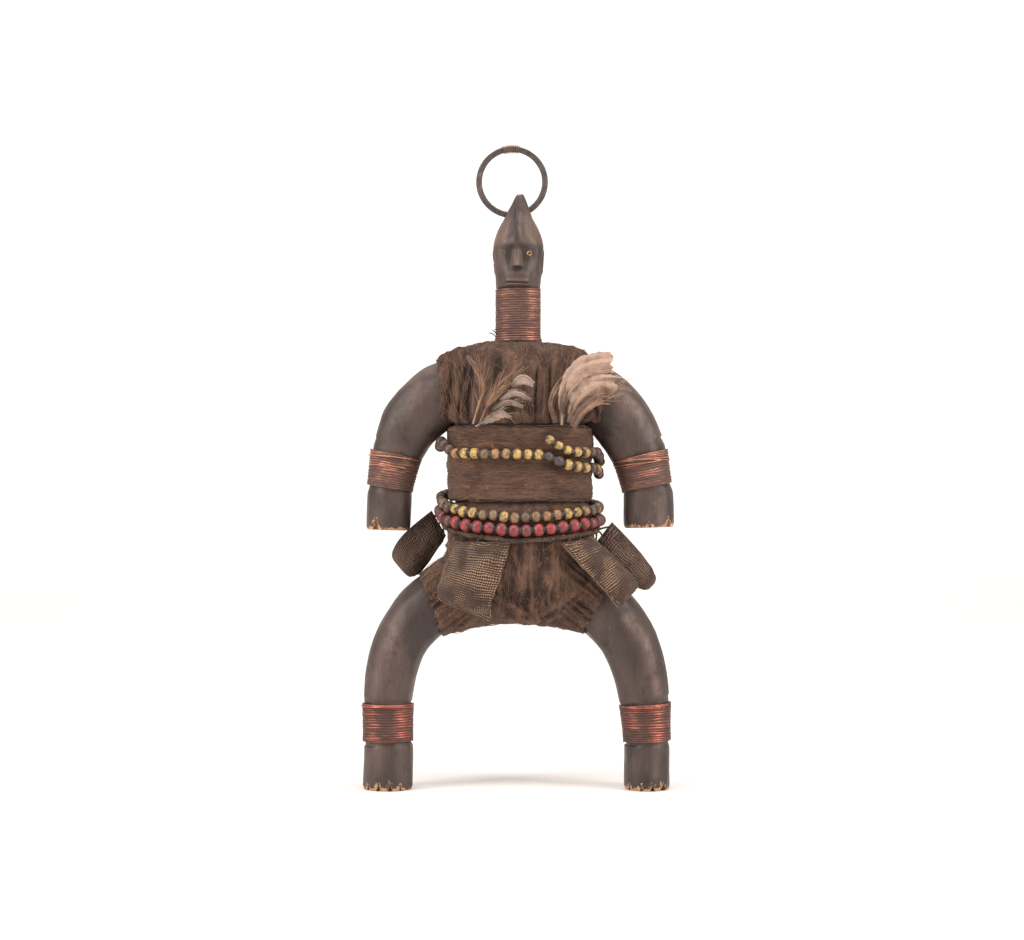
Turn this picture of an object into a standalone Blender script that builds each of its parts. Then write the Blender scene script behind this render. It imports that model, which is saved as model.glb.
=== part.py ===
"""A namji doll: a carved wooden figure with a pointed head and bow-shaped arms and legs.

It is wrapped in cloth, bound with copper wire at neck, arms and ankles, and hung with strings of
beads, cloth pouches and tufts of feathers. An iron ring is threaded through the crest of the head.

Lengths in this file are millimetres, and the meshes are written in metres. +Z is up, the figure
faces -Y, and the origin is on the ground in the middle of the figure.
"""

import math

import bmesh
import bpy
from mathutils import Vector

METRES = 0.001

# Driving sizes
FIGURE_HEIGHT = 330.0  # sole to tip of the crest
GAP = 0.3  # clearance between pieces that touch
CHEST_CLOTH = 5.0  # thickness of the cloth over chest and shoulders
SLEEVE_CLOTH = 3.0  # thickness of the same cloth where it wraps the roots of the arms
WAIST_CLOTH = 4.2  # thickness of the band wound round the waist
HIP_CLOTH = 4.0  # thickness of the loincloth
THIGH_CLOTH = 2.0  # thickness of the loincloth round the roots of the legs
WIRE_DIAMETER = 1.0  # copper wire of the bindings
RING_DIAMETER = 40.0  # outside diameter of the hanging ring
RING_WIRE = 3.3  # diameter of the iron wire of the ring
RING_BINDING = 0.5  # thickness of the fine wire that closes the ring
YELLOW_BEAD = 6.2  # diameter of a yellow bead
YELLOW_PITCH = 5.9  # distance from one yellow bead to the next
RED_BEAD = 7.0
RED_PITCH = 6.8
CORD_DIAMETER = 3.0  # the crusted cord that the pouches hang from
EYE_DIAMETER = 3.1  # inlaid ring bead of each eye
EYE_HOLE = 1.1
EYE_DEPTH = 1.6
FEATHER_THICKNESS = 0.9
POUCH_THICKNESS = 7.0

U = FIGURE_HEIGHT / 330.0  # the carving is drawn in shares of the height: 1 mm on this figure

# Number of sides of the round forms
TORSO_SIDES = 16
LIMB_SIDES = 10
LIMB_TWIST = 0.06  # radians; keeps the edges of the limbs off those of the torso
RING_STEPS = 24
RING_SIDES = 6
BEAD_SIDES = 4

# Torso and neck, upward: height, middle x, half width, half depth, squareness of the outline
TORSO = (
    (97.0, 0.0, 24.0, 15.0, 2.4),
    (103.0, 0.0, 33.0, 21.0, 2.4),
    (112.0, 0.0, 36.5, 24.5, 2.4),
    (128.0, 0.0, 37.0, 25.5, 2.4),
    (165.0, 0.0, 35.8, 24.5, 2.4),
    (205.0, 0.0, 36.8, 25.6, 2.4),
    (224.0, 0.0, 38.0, 25.0, 2.4),
    (234.0, 0.0, 37.0, 21.0, 2.4),
    (240.0, -0.3, 31.0, 16.5, 2.3),
    (243.5, -0.7, 17.4, 12.8, 2.1),
    (246.0, -1.0, 11.2, 11.2, 2.0),
    (282.0, -1.0, 11.2, 11.2, 2.0),
)

# Both arms in one bow, from the left hand over the shoulders to the right hand:
# x, height, half width in the plane of the figure, half depth
ARMS = (
    (-73.1, 143.8, 12.4, 12.4),
    (-72.6, 163.5, 12.4, 12.6),
    (-72.3, 167.0, 11.6, 12.0),
    (-68.8, 185.5, 13.4, 13.2),
    (-67.2, 189.5, 14.8, 13.8),
    (-60.6, 203.0, 17.0, 15.2),
    (-49.0, 214.4, 18.2, 16.0),
    (-32.0, 221.3, 18.4, 16.4),
    (0.7, 222.0, 17.0, 17.0),
    (32.0, 220.5, 18.2, 16.4),
    (48.6, 212.4, 18.0, 16.0),
    (59.6, 199.5, 17.2, 15.4),
    (65.0, 189.0, 16.2, 14.6),
    (66.8, 185.0, 14.6, 13.6),
    (70.6, 167.5, 12.8, 12.8),
    (71.2, 164.0, 13.8, 13.2),
    (71.7, 145.2, 14.2, 12.8),
)
LEFT_ARM_WIRE = (2.0, 3.0)  # first and last place of the binding, counted in stations of ARMS
RIGHT_ARM_WIRE = (13.0, 14.0)
SLEEVES = (5.0, 11.0)  # the stretch of arm that the sleeves of the chest cloth are cut from

# Both legs in one arch, from the left foot over the crotch to the right foot
LEGS = (
    (-73.1, 0.0, 13.9, 14.0),
    (-73.1, 23.0, 13.8, 13.8),
    (-73.3, 26.8, 12.8, 13.0),
    (-73.3, 47.4, 13.1, 13.2),
    (-73.2, 51.0, 13.7, 13.8),
    (-71.2, 66.7, 14.5, 14.4),
    (-66.8, 80.5, 15.2, 15.0),
    (-58.6, 93.0, 16.3, 15.8),
    (-46.0, 103.7, 17.2, 16.4),
    (-28.0, 110.5, 18.4, 17.0),
    (-0.7, 112.5, 18.6, 17.4),
    (28.0, 109.8, 18.4, 17.0),
    (43.5, 101.9, 17.3, 16.4),
    (55.4, 89.5, 16.5, 15.8),
    (62.0, 78.0, 15.8, 15.0),
    (66.6, 64.5, 14.9, 14.4),
    (68.9, 50.8, 14.2, 13.8),
    (69.5, 47.2, 13.2, 13.2),
    (70.6, 26.8, 12.0, 12.8),
    (70.6, 23.0, 12.9, 13.4),
    (70.6, 0.0, 12.8, 14.0),
)
LEFT_ANKLE_WIRE = (2.0, 3.0)
RIGHT_ANKLE_WIRE = (17.0, 18.0)
THIGHS = (6.6, 13.4)  # the stretch of leg that the loincloth is cut from

# Head, upward: height, middle x, half width, half depth in front, half depth behind
HEAD = (
    (277.8, -0.9, 12.2, 12.4, 12.0),
    (279.6, -0.9, 12.4, 12.9, 12.3),
    (280.7, -0.9, 12.5, 13.1, 12.5),
    (281.9, -0.9, 12.6, 13.2, 12.7),
    (285.0, -0.8, 12.8, 13.3, 13.1),
    (289.0, -0.8, 13.2, 13.3, 13.6),
    (291.3, -0.8, 13.4, 13.2, 13.9),
    (291.8, -0.8, 13.4, 13.2, 14.0),
    (296.4, -0.8, 13.9, 13.2, 14.6),
    (300.2, -0.8, 14.0, 13.4, 14.8),
    (301.4, -0.8, 14.0, 13.4, 14.8),
    (305.0, -0.8, 13.3, 12.8, 14.6),
    (309.0, -0.9, 11.9, 11.4, 13.9),
    (312.8, -0.9, 10.1, 9.9, 12.8),
    (316.7, -0.7, 7.9, 8.3, 11.2),
    (320.6, -0.5, 6.3, 6.5, 9.3),
    (324.5, -0.1, 4.5, 4.7, 6.9),
    (328.4, 0.1, 2.8, 2.9, 4.2),
    (330.0, 0.2, 1.9, 2.0, 2.9),
)
HEAD_SQUARENESS = 2.2
HEAD_TURNS = (0, 8, 16, 26, 38, 52, 70, 90, 120, 150)  # degrees from the front, to each side

# The face, in the same shares of the height
FACE_X = -1.7
NOSE = (302.5, 291.6)  # top and bottom
NOSE_HALF_WIDTH = (1.9, 3.9)
NOSE_RISE = (0.6, 3.8)
EYE_HOLLOW = 1.7
HOLLOW_FOOT = (289.5, 292.0)  # where the hollow under the brow begins and where it has its full depth
HOLLOW_HALF_WIDTH = (11.5, 9.0)
BROW_HEIGHT = 300.8
EYES = ((-6.9, 296.4), (6.9, 296.4))  # from FACE_X, and height
EYE_TURN = 24.0  # degrees that each eye looks to its side
MOUTH_HEIGHT = 280.7
MOUTH_HALF_WIDTH = 6.2
MOUTH_DEPTH = 1.1
MOUTH_LIPS = (0.9, 0.3)  # half height of the mouth at its edges and on its floor
MUZZLE = (278.4, 279.8, 286.0, 290.0)  # heights where it begins, is full, fades and ends
MUZZLE_HALF_WIDTH = (9.5, 6.5)
MUZZLE_RISE = 0.9
CREST_RIDGE = 1.2
CREST_HALF_WIDTH = (4.2, 1.3)  # at the brow and at the top
CREST_TOP = 324.0
EAR_SIZE = (0.5, 3.4, 5.2)  # how far an ear stands out, and its half depth and half height
EAR_DROP = 3.9  # from the height of the eyes down to the middle of an ear

# Hanging ring: its middle stands left of the crest, as it does on the figure
RING_X = -4.4
RING_Y = 1.8
RING_BITE = 11.15  # from the tip of the crest down to the wire of the ring in its hole
RING_BINDING_SPAN = (-16.0, 12.0)  # degrees from the top of the ring

# Edges of the wrappings
CLOTH_BOTTOM = 94.5
WAIST_BOTTOM = 160.0
WAIST_TOP = 201.0
# Turns of the waist band, upward: height, and how far it stands out more or less than its thickness
WAIST_EDGES = (
    (WAIST_BOTTOM, -0.8), (162.0, 0.0), (171.0, 0.2), (172.5, -0.4),
    (186.0, 0.0), (187.5, -0.5), (199.0, 0.2), (WAIST_TOP, -0.8),
)
SHOULDER_BEND = (TORSO[6][0], TORSO[8][0])  # heights between which the shoulders turn inward
CHEST_LIFT = 3.2  # how far the chest cloth stands above the shoulders
CHEST_OVERLAP = 6.0  # cut off again along the waist band's top
NECK_CLOTH_TOP = 247.6
# Seen from the front, what is kept of each cloth, as (x, height); the ends on the limbs are straight
CHEST_OUTLINE = (
    (-49.0, 262.0), (-42.8, WAIST_TOP + GAP), (44.0, WAIST_TOP + GAP), (53.0, 262.0),
)
HIP_OUTLINE = ((-66.0, 141.0), (-38.4, 75.0), (29.5, 75.0), (63.7, 141.0), (63.7, 170.0), (-66.0, 170.0))

# Notches between fingers and toes: place across the front as a share of the half width
NOTCHES = {
    "left_hand": (-0.53, 0.16, 0.56),
    "right_hand": (-0.58, -0.02, 0.72),
    "left_foot": (-0.78, -0.36, 0.10, 0.50),
    "right_foot": (-0.80, -0.30, 0.18, 0.64),
}
NOTCH_HALF_WIDTH = 2.8
NOTCH_HEIGHT = 6.4
NOTCH_DEPTH = 5.5

# Bead strings: bearing in degrees from the front towards the right, and height
UPPER_STRING = (
    (14, 195.0), (24, 190.4), (36, 187.2), (61, 186.8), (76, 185.6), (90, 181.2), (104, 185.0),
    (135, 189.0), (180, 190.4), (225, 191.0), (256, 190.6), (270, 190.0), (283, 192.6), (294, 190.6),
    (306, 187.0), (324, 186.2), (360, 185.6), (375, 184.4), (390, 180.4), (410, 178.4), (436, 177.6),
    (450, 174.2), (464, 177.0), (495, 180.2), (540, 181.6), (580, 182.6),
)
LOWER_STRING = (
    (0, 151.2), (36, 153.6), (62, 155.2), (90, 156.4), (135, 158.6), (180, 161.0), (235, 163.4),
    (268, 161.6), (298, 157.0), (324, 154.0), (348, 152.0),
)
BEAD_WAIST = 0.5  # radius between two beads, as a share of the bead's own

# Pouches: the four corners of each, top left, top right, bottom right, bottom left,
# as bearing in degrees, height, and distance of the middle of the pouch outside the hip cloth
POUCHES = {
    "pouch_front_left": ((-53, 136.6, 2.3), (-4, 135.8, 3.1), (-21, 93.4, 11.2), (-56, 106.5, 13.0)),
    "pouch_side_left": ((-100, 150.5, 12.3), (-98, 137.0, 3.2), (-97, 115.6, 20.2), (-98, 129.5, 32.0)),
    "pouch_front_right": ((28, 135.4, 3.7), (61, 139.8, 3.9), (73, 115.0, 26.4), (60, 101.0, 23.6)),
    "pouch_side_right": ((78, 131.0, 2.6), (86, 144.0, 13.0), (89, 117.0, 35.3), (83, 109.5, 28.3)),
}
POUCH_STEPS = 5
POUCH_SIDES = 8
POUCH_END_FILL = 0.34  # thickness at the flat top and bottom seams, as a share of the whole

# Feathers: x, height and distance before the chest cloth along each, and the half width there
FEATHERS = {
    "feather_left_quill": (
        (-25.5, 202.0, 0.8, 1.4), (-22.5, 213.0, 1.6, 3.6), (-20.0, 223.0, 2.4, 4.4), (-24.5, 238.0, 3.4, 0.9),
    ),
    "feather_left_fan": (
        (-22.0, 202.4, 1.6, 1.4), (-17.0, 213.0, 2.8, 3.6), (-9.0, 223.0, 3.6, 4.2), (2.0, 228.0, 4.2, 1.6),
    ),
    "feather_left_curl": (
        (-20.0, 201.8, 3.6, 1.3), (-12.0, 209.0, 4.8, 3.4), (-2.0, 215.2, 5.4, 4.0), (7.5, 214.0, 5.0, 1.8),
    ),
    "feather_left_tuft": (
        (-24.0, 200.6, 5.0, 1.2), (-17.5, 204.2, 6.0, 2.4), (-9.5, 207.6, 6.6, 2.8), (-2.6, 204.8, 6.6, 1.4),
    ),
    "feather_right_back": (
        (19.5, 202.6, 0.8, 1.3), (16.8, 212.0, 1.6, 2.0), (20.0, 221.0, 2.4, 2.4), (27.5, 229.5, 3.2, 1.0),
    ),
    "feather_right_arch": (
        (22.5, 201.4, 2.4, 1.6), (24.0, 217.0, 3.6, 4.6), (33.5, 231.0, 5.0, 6.0), (51.0, 234.6, 5.8, 3.4),
    ),
    "feather_right_broad": (
        (26.0, 200.6, 4.2, 1.8), (30.0, 213.0, 5.4, 5.0), (40.0, 223.0, 6.6, 6.0), (56.0, 223.6, 7.0, 4.2),
    ),
    "feather_right_low": (
        (28.5, 200.2, 6.4, 1.4), (33.0, 208.0, 7.4, 3.2), (41.5, 214.6, 8.2, 3.6), (51.5, 215.4, 8.4, 1.8),
    ),
}
FEATHER_STEPS = 5
FEATHER_SIDES = 4

# Colour, roughness and metallic value of each material
MATERIALS = {
    "wood": ((0.060, 0.042, 0.036), 0.45, 0.0),
    "iron": ((0.060, 0.050, 0.048), 0.45, 0.9),
    "copper": ((0.300, 0.110, 0.060), 0.40, 0.9),
    "cloth": ((0.085, 0.048, 0.028), 0.95, 0.0),
    "yellow_beads": ((0.500, 0.330, 0.080), 0.40, 0.0),
    "red_beads": ((0.420, 0.040, 0.040), 0.40, 0.0),
    "pouch_cloth": ((0.075, 0.050, 0.035), 0.90, 0.0),
    "feather": ((0.300, 0.200, 0.140), 0.70, 0.0),
    "brass": ((0.480, 0.330, 0.120), 0.35, 0.9),
}


def clear_scene():
    for item in list(bpy.data.objects):
        bpy.data.objects.remove(item)


def material(name):
    found = bpy.data.materials.get(name)
    if found:
        return found
    colour, roughness, metallic = MATERIALS[name]
    made = bpy.data.materials.new(name)
    made.use_nodes = True
    shader = made.node_tree.nodes["Principled BSDF"]
    shader.inputs["Base Color"].default_value = (*colour, 1.0)
    shader.inputs["Roughness"].default_value = roughness
    shader.inputs["Metallic"].default_value = metallic
    return made


def mix(start, end, share):
    return start + (end - start) * share


def ramp(value, start, end):
    """0 before start, 1 past end, and straight between; start may be above end."""
    return min(1.0, max(0.0, (value - start) / (end - start)))


def spline(points, place):
    """Catmull-Rom curve through rows of numbers; place counts the rows from 0."""
    last = len(points) - 1
    index = min(int(place), last - 1)
    t = place - index
    row = [points[min(max(index + k, 0), last)] for k in (-1, 0, 1, 2)]
    if index == 0:
        row[0] = [2 * a - b for a, b in zip(points[0], points[1])]
    if index == last - 1:
        row[3] = [2 * a - b for a, b in zip(points[last], points[last - 1])]
    return [
        b + 0.5 * t * (c - a + t * (2 * a - 5 * b + 4 * c - d + t * (3 * (b - c) + d - a)))
        for a, b, c, d in zip(*row)
    ]


def outline_point(half_width, front, back, squareness, turn):
    """A point of a rounded outline; turn is in radians from the front (-Y) towards the right (+X)."""
    s, c = math.sin(turn), math.cos(turn)
    depth = front if c > 0 else back
    x = half_width * math.copysign(abs(s) ** (2 / squareness), s)
    y = -depth * math.copysign(abs(c) ** (2 / squareness), c)
    return x, y


def turns(sides, first=0.0):
    return [first + 2 * math.pi * k / sides for k in range(sides)]


def loft(rings, closed=False):
    """Vertices and faces of a skin over rings of equally many points."""
    sides = len(rings[0])
    vertices = [point for ring in rings for point in ring]
    spans = len(rings) if closed else len(rings) - 1
    faces = []
    for r in range(spans):
        low, high = r * sides, (r + 1) % len(rings) * sides
        for k in range(sides):
            n = (k + 1) % sides
            faces.append((low + k, low + n, high + n, high + k))
    if not closed:
        faces.append(tuple(range(sides))[::-1])
        faces.append(tuple((len(rings) - 1) * sides + k for k in range(sides)))
    return vertices, faces


def solid(name, shape, material_name=None):
    """An object from vertices in millimetres and faces. Without a material it is a cutter."""
    vertices, faces = shape
    mesh = bpy.data.meshes.new(name)
    mesh.from_pydata([Vector(v) * METRES for v in vertices], [], faces)
    work = bmesh.new()
    work.from_mesh(mesh)
    bmesh.ops.recalc_face_normals(work, faces=work.faces)
    work.to_mesh(mesh)
    work.free()
    made = bpy.data.objects.new(name, mesh)
    bpy.context.scene.collection.objects.link(made)
    if material_name:
        mesh.materials.append(material(material_name))
        mesh.shade_smooth()
        mesh.set_sharp_from_angle(angle=math.radians(40))
    else:
        made.hide_render = True
        made.display_type = "WIRE"
    return made


def combine(target, other, operation):
    change = target.modifiers.new(other.name, "BOOLEAN")
    change.operation = operation
    change.object = other
    change.solver = "EXACT"


def torso_at(height):
    """Middle x, half width, half depth and squareness of the carved torso at a height, in mm."""
    rows = [[U * value for value in row[:4]] + [row[4]] for row in TORSO]
    for low, high in zip(rows, rows[1:]):
        if height <= high[0]:
            share = ramp(height, low[0], high[0])
            return [mix(a, b, share) for a, b in zip(low[1:], high[1:])]
    return rows[-1][1:]


def torso_ring(height, grow, lift=0.0):
    middle, width, depth, squareness = torso_at(height)
    points = []
    for turn in turns(TORSO_SIDES):
        x, y = outline_point(width + grow, depth + grow, depth + grow, squareness, turn)
        points.append((middle + x, y, height + lift))
    return points


def torso_loft(grow=0.0):
    """The whole torso and neck; grow also lowers its bottom end and raises the shoulders."""
    rings = [torso_ring(U * row[0], grow, grow * ramp(row[0], TORSO[6][0], TORSO[7][0])) for row in TORSO]
    rings[0] = torso_ring(U * TORSO[0][0], grow, -grow)
    return loft(rings)


def limb_ring(stations, place, grow):
    """The outline across a limb at a place counted in its stations."""
    step = 0.02
    x, z, width, depth = [U * value for value in spline(stations, place)]
    last = len(stations) - 1
    before = spline(stations, max(place - step, 0.0))
    after = spline(stations, min(place + step, last))
    along = Vector((after[0] - before[0], 0.0, after[1] - before[1])).normalized()
    across = Vector((along.z, 0.0, -along.x))
    points = []
    for turn in turns(LIMB_SIDES, LIMB_TWIST):
        out = across * (width + grow) * math.cos(turn)
        points.append((x + out.x, (depth + grow) * math.sin(turn), z + out.z))
    return points


def limb_loft(stations, grow=0.0, span=None):
    """The limb from one place to another; span None is the whole limb."""
    first, last = span or (0.0, float(len(stations) - 1))
    inner = []
    for k, (a, b) in enumerate(zip(stations, stations[1:])):
        inner.append(float(k))
        if abs(b[0] - a[0]) > 1.5 and math.hypot(b[0] - a[0], b[1] - a[1]) > 6:
            inner.append(k + 0.5)
    inner = [place for place in inner if first + 0.05 < place < last - 0.05]
    return loft([limb_ring(stations, place, grow) for place in [first, *inner, last]])


def face_relief(x, height):
    """How far the carving of the face stands out, in shares of the height."""
    u = abs(x - FACE_X)
    rise = 0.0
    down = ramp(height, NOSE[0], NOSE[1])
    if NOSE[1] <= height <= NOSE[0]:
        half = mix(*NOSE_HALF_WIDTH, down)
        rise += mix(*NOSE_RISE, down) * ramp(u, half, 0.45 * half)
    hollow = ramp(height, *HOLLOW_FOOT) * ramp(height, BROW_HEIGHT + 0.6, BROW_HEIGHT - 0.6)
    rise -= EYE_HOLLOW * hollow * ramp(u, *HOLLOW_HALF_WIDTH)
    if height > NOSE[0]:
        half = mix(*CREST_HALF_WIDTH, ramp(height, NOSE[0], CREST_TOP))
        rise += CREST_RIDGE * ramp(u, half, 0.4 * half)
    muzzle = ramp(height, MUZZLE[0], MUZZLE[1]) * ramp(height, MUZZLE[3], MUZZLE[2])
    rise += MUZZLE_RISE * muzzle * ramp(u, *MUZZLE_HALF_WIDTH)
    mouth = ramp(abs(height - MOUTH_HEIGHT), *MOUTH_LIPS)
    mouth *= ramp(u, MOUTH_HALF_WIDTH + 1.0, MOUTH_HALF_WIDTH)
    return rise - MOUTH_DEPTH * mouth


def head_at(height):
    """Middle x, half width and half depth in front of the carved head, in shares of the height."""
    rows = [row[:4] for row in HEAD]
    for low, high in zip(rows, rows[1:]):
        if height <= high[0]:
            share = ramp(height, low[0], high[0])
            return [mix(a, b, share) for a, b in zip(low[1:], high[1:])]
    return list(rows[-1][1:])


def head_loft():
    degrees = [-d for d in HEAD_TURNS[:0:-1]] + list(HEAD_TURNS) + [180]
    rings = []
    for height, middle, width, front, back in HEAD:
        ring = []
        for degree in degrees:
            turn = math.radians(degree)
            x, y = outline_point(width, front, back, HEAD_SQUARENESS, turn)
            y -= face_relief(middle + x, height) * ramp(math.cos(turn), 0.0, 0.35)
            ring.append((U * (middle + x), U * y, U * height))
        rings.append(ring)
    return loft(rings)


def ear(side):
    """A flat oval that stands out of the side of the head."""
    out, depth, tall = (U * value for value in EAR_SIZE)
    height = EYES[0][1] - EAR_DROP
    middle, width, _ = head_at(height)
    root = U * (middle + side * width) - 2 * side * out
    rings = []
    for x, share in ((root, 1.0), (root + side * 2.6 * out, 1.0), (root + side * 3 * out, 0.7)):
        ring = []
        for turn in turns(8):
            y = out + share * depth * math.cos(turn)
            ring.append((x, y, U * height + share * tall * math.sin(turn)))
        rings.append(ring)
    return loft(rings)


def eye_frame(side):
    """The middle of an eye on the face, and the directions outward, across and up."""
    offset, height = EYES[side]
    x = FACE_X + offset
    middle, width, front = head_at(height)
    share = 1 - abs((x - middle) / width) ** HEAD_SQUARENESS
    y = -front * share ** (1 / HEAD_SQUARENESS) - face_relief(x, height)
    turn = math.radians(math.copysign(EYE_TURN, offset))
    outward = Vector((math.sin(turn), -math.cos(turn), 0.0))
    across = Vector((math.cos(turn), math.sin(turn), 0.0))
    return Vector((U * x, U * y, U * height)), outward, across


def eye_ring(side, radius, out):
    middle, outward, across = eye_frame(side)
    up = Vector((0.0, 0.0, 1.0))
    points = []
    for turn in turns(8):
        points.append(middle + outward * out + radius * (across * math.cos(turn) + up * math.sin(turn)))
    return points


def eye_socket(side):
    radius = EYE_DIAMETER / 2 + GAP
    return loft([eye_ring(side, radius, -EYE_DEPTH - GAP), eye_ring(side, radius, EYE_DEPTH + 2)])


def eye_bead(side):
    """A ring bead set in its socket and standing a little out of it."""
    outer, hole, stand = EYE_DIAMETER / 2, EYE_HOLE / 2, 0.45
    rings = [
        eye_ring(side, hole, -EYE_DEPTH),
        eye_ring(side, outer, -EYE_DEPTH),
        eye_ring(side, outer, 0.2),
        eye_ring(side, mix(hole, outer, 0.6), stand),
        eye_ring(side, hole, 0.2),
    ]
    return loft(rings, closed=True)


def ring_circle(angle, radius, tube, steps):
    """A section of the hanging ring; angle is from its top, towards the right."""
    middle = U * (HEAD[-1][0] - RING_BITE) + (RING_DIAMETER - RING_WIRE) / 2
    points = []
    for turn in turns(steps):
        reach = radius + tube * math.cos(turn)
        x = U * RING_X + reach * math.sin(angle)
        points.append((x, U * RING_Y + tube * math.sin(turn), middle + reach * math.cos(angle)))
    return points


def ring_torus(tube):
    radius = (RING_DIAMETER - RING_WIRE) / 2
    return loft([ring_circle(a, radius, tube, RING_SIDES) for a in turns(RING_STEPS)], closed=True)


def ring_binding():
    """A sleeve of fine wire round the ring where its two ends meet."""
    radius = (RING_DIAMETER - RING_WIRE) / 2
    inner = RING_WIRE / 2 + GAP
    start, end = (math.radians(d) for d in RING_BINDING_SPAN)
    places = [mix(start, end, k / 4) for k in range(5)]
    outer = [
        ring_circle(a, radius, inner + RING_BINDING * (1.0 if k % 2 else 0.55), RING_SIDES)
        for k, a in enumerate(places)
    ]
    hole = [ring_circle(a, radius, inner, RING_SIDES) for a in reversed(places)]
    return loft(outer + hole, closed=True)


def notch_cutter(station, shares):
    """Chip-cut notches up from the end of a hand or foot, one for each gap between two fingers."""
    x, end_height, width, depth = [U * value for value in station]
    vertices, faces = [], []
    for share in shares:
        middle = x + share * width
        edge = -depth * math.sqrt(1 - share * share)
        start = len(vertices)
        base = end_height - 0.6
        half = U * NOTCH_HALF_WIDTH
        vertices += [
            (middle - half, edge - 1.5, base),
            (middle + half, edge - 1.5, base),
            (middle, edge + U * NOTCH_DEPTH, base),
            (middle, edge - 1.5, end_height + U * NOTCH_HEIGHT),
        ]
        faces += [
            tuple(start + k for k in corner)
            for corner in ((0, 2, 1), (0, 1, 3), (1, 2, 3), (2, 0, 3))
        ]
    return vertices, faces


def make_figure():
    figure = solid("wooden_figure", torso_loft(), "wood")
    combine(figure, solid("arms_of_figure", limb_loft(ARMS)), "UNION")
    combine(figure, solid("legs_of_figure", limb_loft(LEGS)), "UNION")
    combine(figure, solid("head_of_figure", head_loft()), "UNION")
    for name, side in (("left", -1), ("right", 1)):
        combine(figure, solid(f"ear_{name}", ear(side)), "UNION")
    hole = RING_WIRE / 2 + GAP
    combine(figure, solid("ring_hole", ring_torus(hole)), "DIFFERENCE")
    for name, side in (("left", 0), ("right", 1)):
        combine(figure, solid(f"eye_socket_{name}", eye_socket(side)), "DIFFERENCE")
    ends = {"left_hand": ARMS[0], "right_hand": ARMS[-1], "left_foot": LEGS[0], "right_foot": LEGS[-1]}
    for name, station in ends.items():
        cutter = solid(f"notches_{name}", notch_cutter(station, NOTCHES[name]))
        combine(figure, cutter, "DIFFERENCE")


def weld(target):
    """Joins the nearly equal points that the cuts leave."""
    change = target.modifiers.new("weld", "WELD")
    change.merge_threshold = 0.05 * METRES


def body_cutter(name, shape):
    return solid(f"room_for_{name}", shape)


def wooden_room(name, limbs):
    """The room that the torso and two limbs take up inside a cloth, with the clearance."""
    room = body_cutter(name, torso_loft(GAP))
    combine(room, solid(f"limbs_in_{name}", limb_loft(limbs, GAP)), "UNION")
    return room


def prism(outline):
    """A block seen from the front as the outline of (x, height) points, deeper than the figure."""
    depth = 2 * U * TORSO[5][3]
    return loft([[(U * x, y, U * height) for x, height in outline] for y in (-depth, depth)])


def keep_inside(cloth, outline):
    """Cuts the cloth off along a straight edge on its left and on its right side."""
    combine(cloth, body_cutter(f"{cloth.name}_outline", prism(outline)), "INTERSECT")


def make_chest_cloth():
    """Cloth over chest and shoulders; it wraps the roots of the arms and ends at the neck."""
    rings = []
    for height in (WAIST_TOP - CHEST_OVERLAP, *(row[0] for row in TORSO[5:10])):
        rise = CHEST_LIFT * ramp(height, *SHOULDER_BEND)
        rings.append(torso_ring(U * height, GAP + CHEST_CLOTH, U * rise))
    neck = torso_ring(U * TORSO[-2][0], GAP + 0.5 * CHEST_CLOTH, U * (NECK_CLOTH_TOP - TORSO[-2][0]))
    cloth = solid("chest_cloth", loft([*rings, neck]), "cloth")
    sleeves = limb_loft(ARMS, GAP + SLEEVE_CLOTH, SLEEVES)
    combine(cloth, solid("sleeves_of_cloth", sleeves), "UNION")
    keep_inside(cloth, CHEST_OUTLINE)
    combine(cloth, wooden_room("chest_cloth", ARMS), "DIFFERENCE")
    weld(cloth)


def tube(outer, inner):
    """A closed sleeve between its outside and its inside rings, both given upward."""
    return loft(outer + inner[::-1], closed=True)


def make_waist_band():
    """A strip wound round the waist; each turn stands out at its edge."""
    outer = [torso_ring(U * height, GAP + WAIST_CLOTH + swell) for height, swell in WAIST_EDGES]
    inner = [torso_ring(U * height, GAP) for height in (WAIST_BOTTOM, TORSO[4][0], WAIST_TOP)]
    band = solid("waist_band", tube(outer, inner), "cloth")
    combine(band, body_cutter("arms_over_waist_band", limb_loft(ARMS, GAP)), "DIFFERENCE")


def make_hip_cloth():
    """The loincloth: round the hips, under the crotch and round the roots of the legs."""
    heights = (CLOTH_BOTTOM, *(row[0] for row in TORSO[1:4]), WAIST_BOTTOM)
    rings = []
    for height in heights:
        top = GAP if height == WAIST_BOTTOM else 0.0
        rings.append(torso_ring(U * height, GAP + HIP_CLOTH, -top))
    cloth = solid("hip_cloth", loft(rings), "cloth")
    thighs = limb_loft(LEGS, GAP + THIGH_CLOTH, THIGHS)
    combine(cloth, solid("thighs_of_cloth", thighs), "UNION")
    keep_inside(cloth, HIP_OUTLINE)
    combine(cloth, wooden_room("hip_cloth", LEGS), "DIFFERENCE")
    weld(cloth)


def ribbed(ring_at, ribs):
    """Rings of a wire binding: crest, valley, crest. ring_at takes a share and a radius to add."""
    full, low = GAP + WIRE_DIAMETER, GAP + 0.5 * WIRE_DIAMETER
    return [ring_at(k / (2 * ribs), full if k % 2 else low) for k in range(2 * ribs + 1)]


def make_limb_wire(name, stations, span, ribs=3):
    """Copper wire wound round a limb; each rib of the solid stands for several turns."""

    def ring_at(share, grow):
        return limb_ring(stations, mix(*span, share), grow)

    inner = [limb_ring(stations, mix(*span, share), GAP) for share in (0.0, 0.5, 1.0)]
    solid(name, tube(ribbed(ring_at, ribs), inner), "copper")


def make_neck_wire(ribs=4):
    bottom, top = U * NECK_CLOTH_TOP + GAP, U * HEAD[0][0] - GAP

    def ring_at(share, grow):
        return torso_ring(mix(bottom, top, share), grow)

    inner = [torso_ring(height, GAP) for height in (bottom, top)]
    solid("neck_wire", tube(ribbed(ring_at, ribs), inner), "copper")


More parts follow.
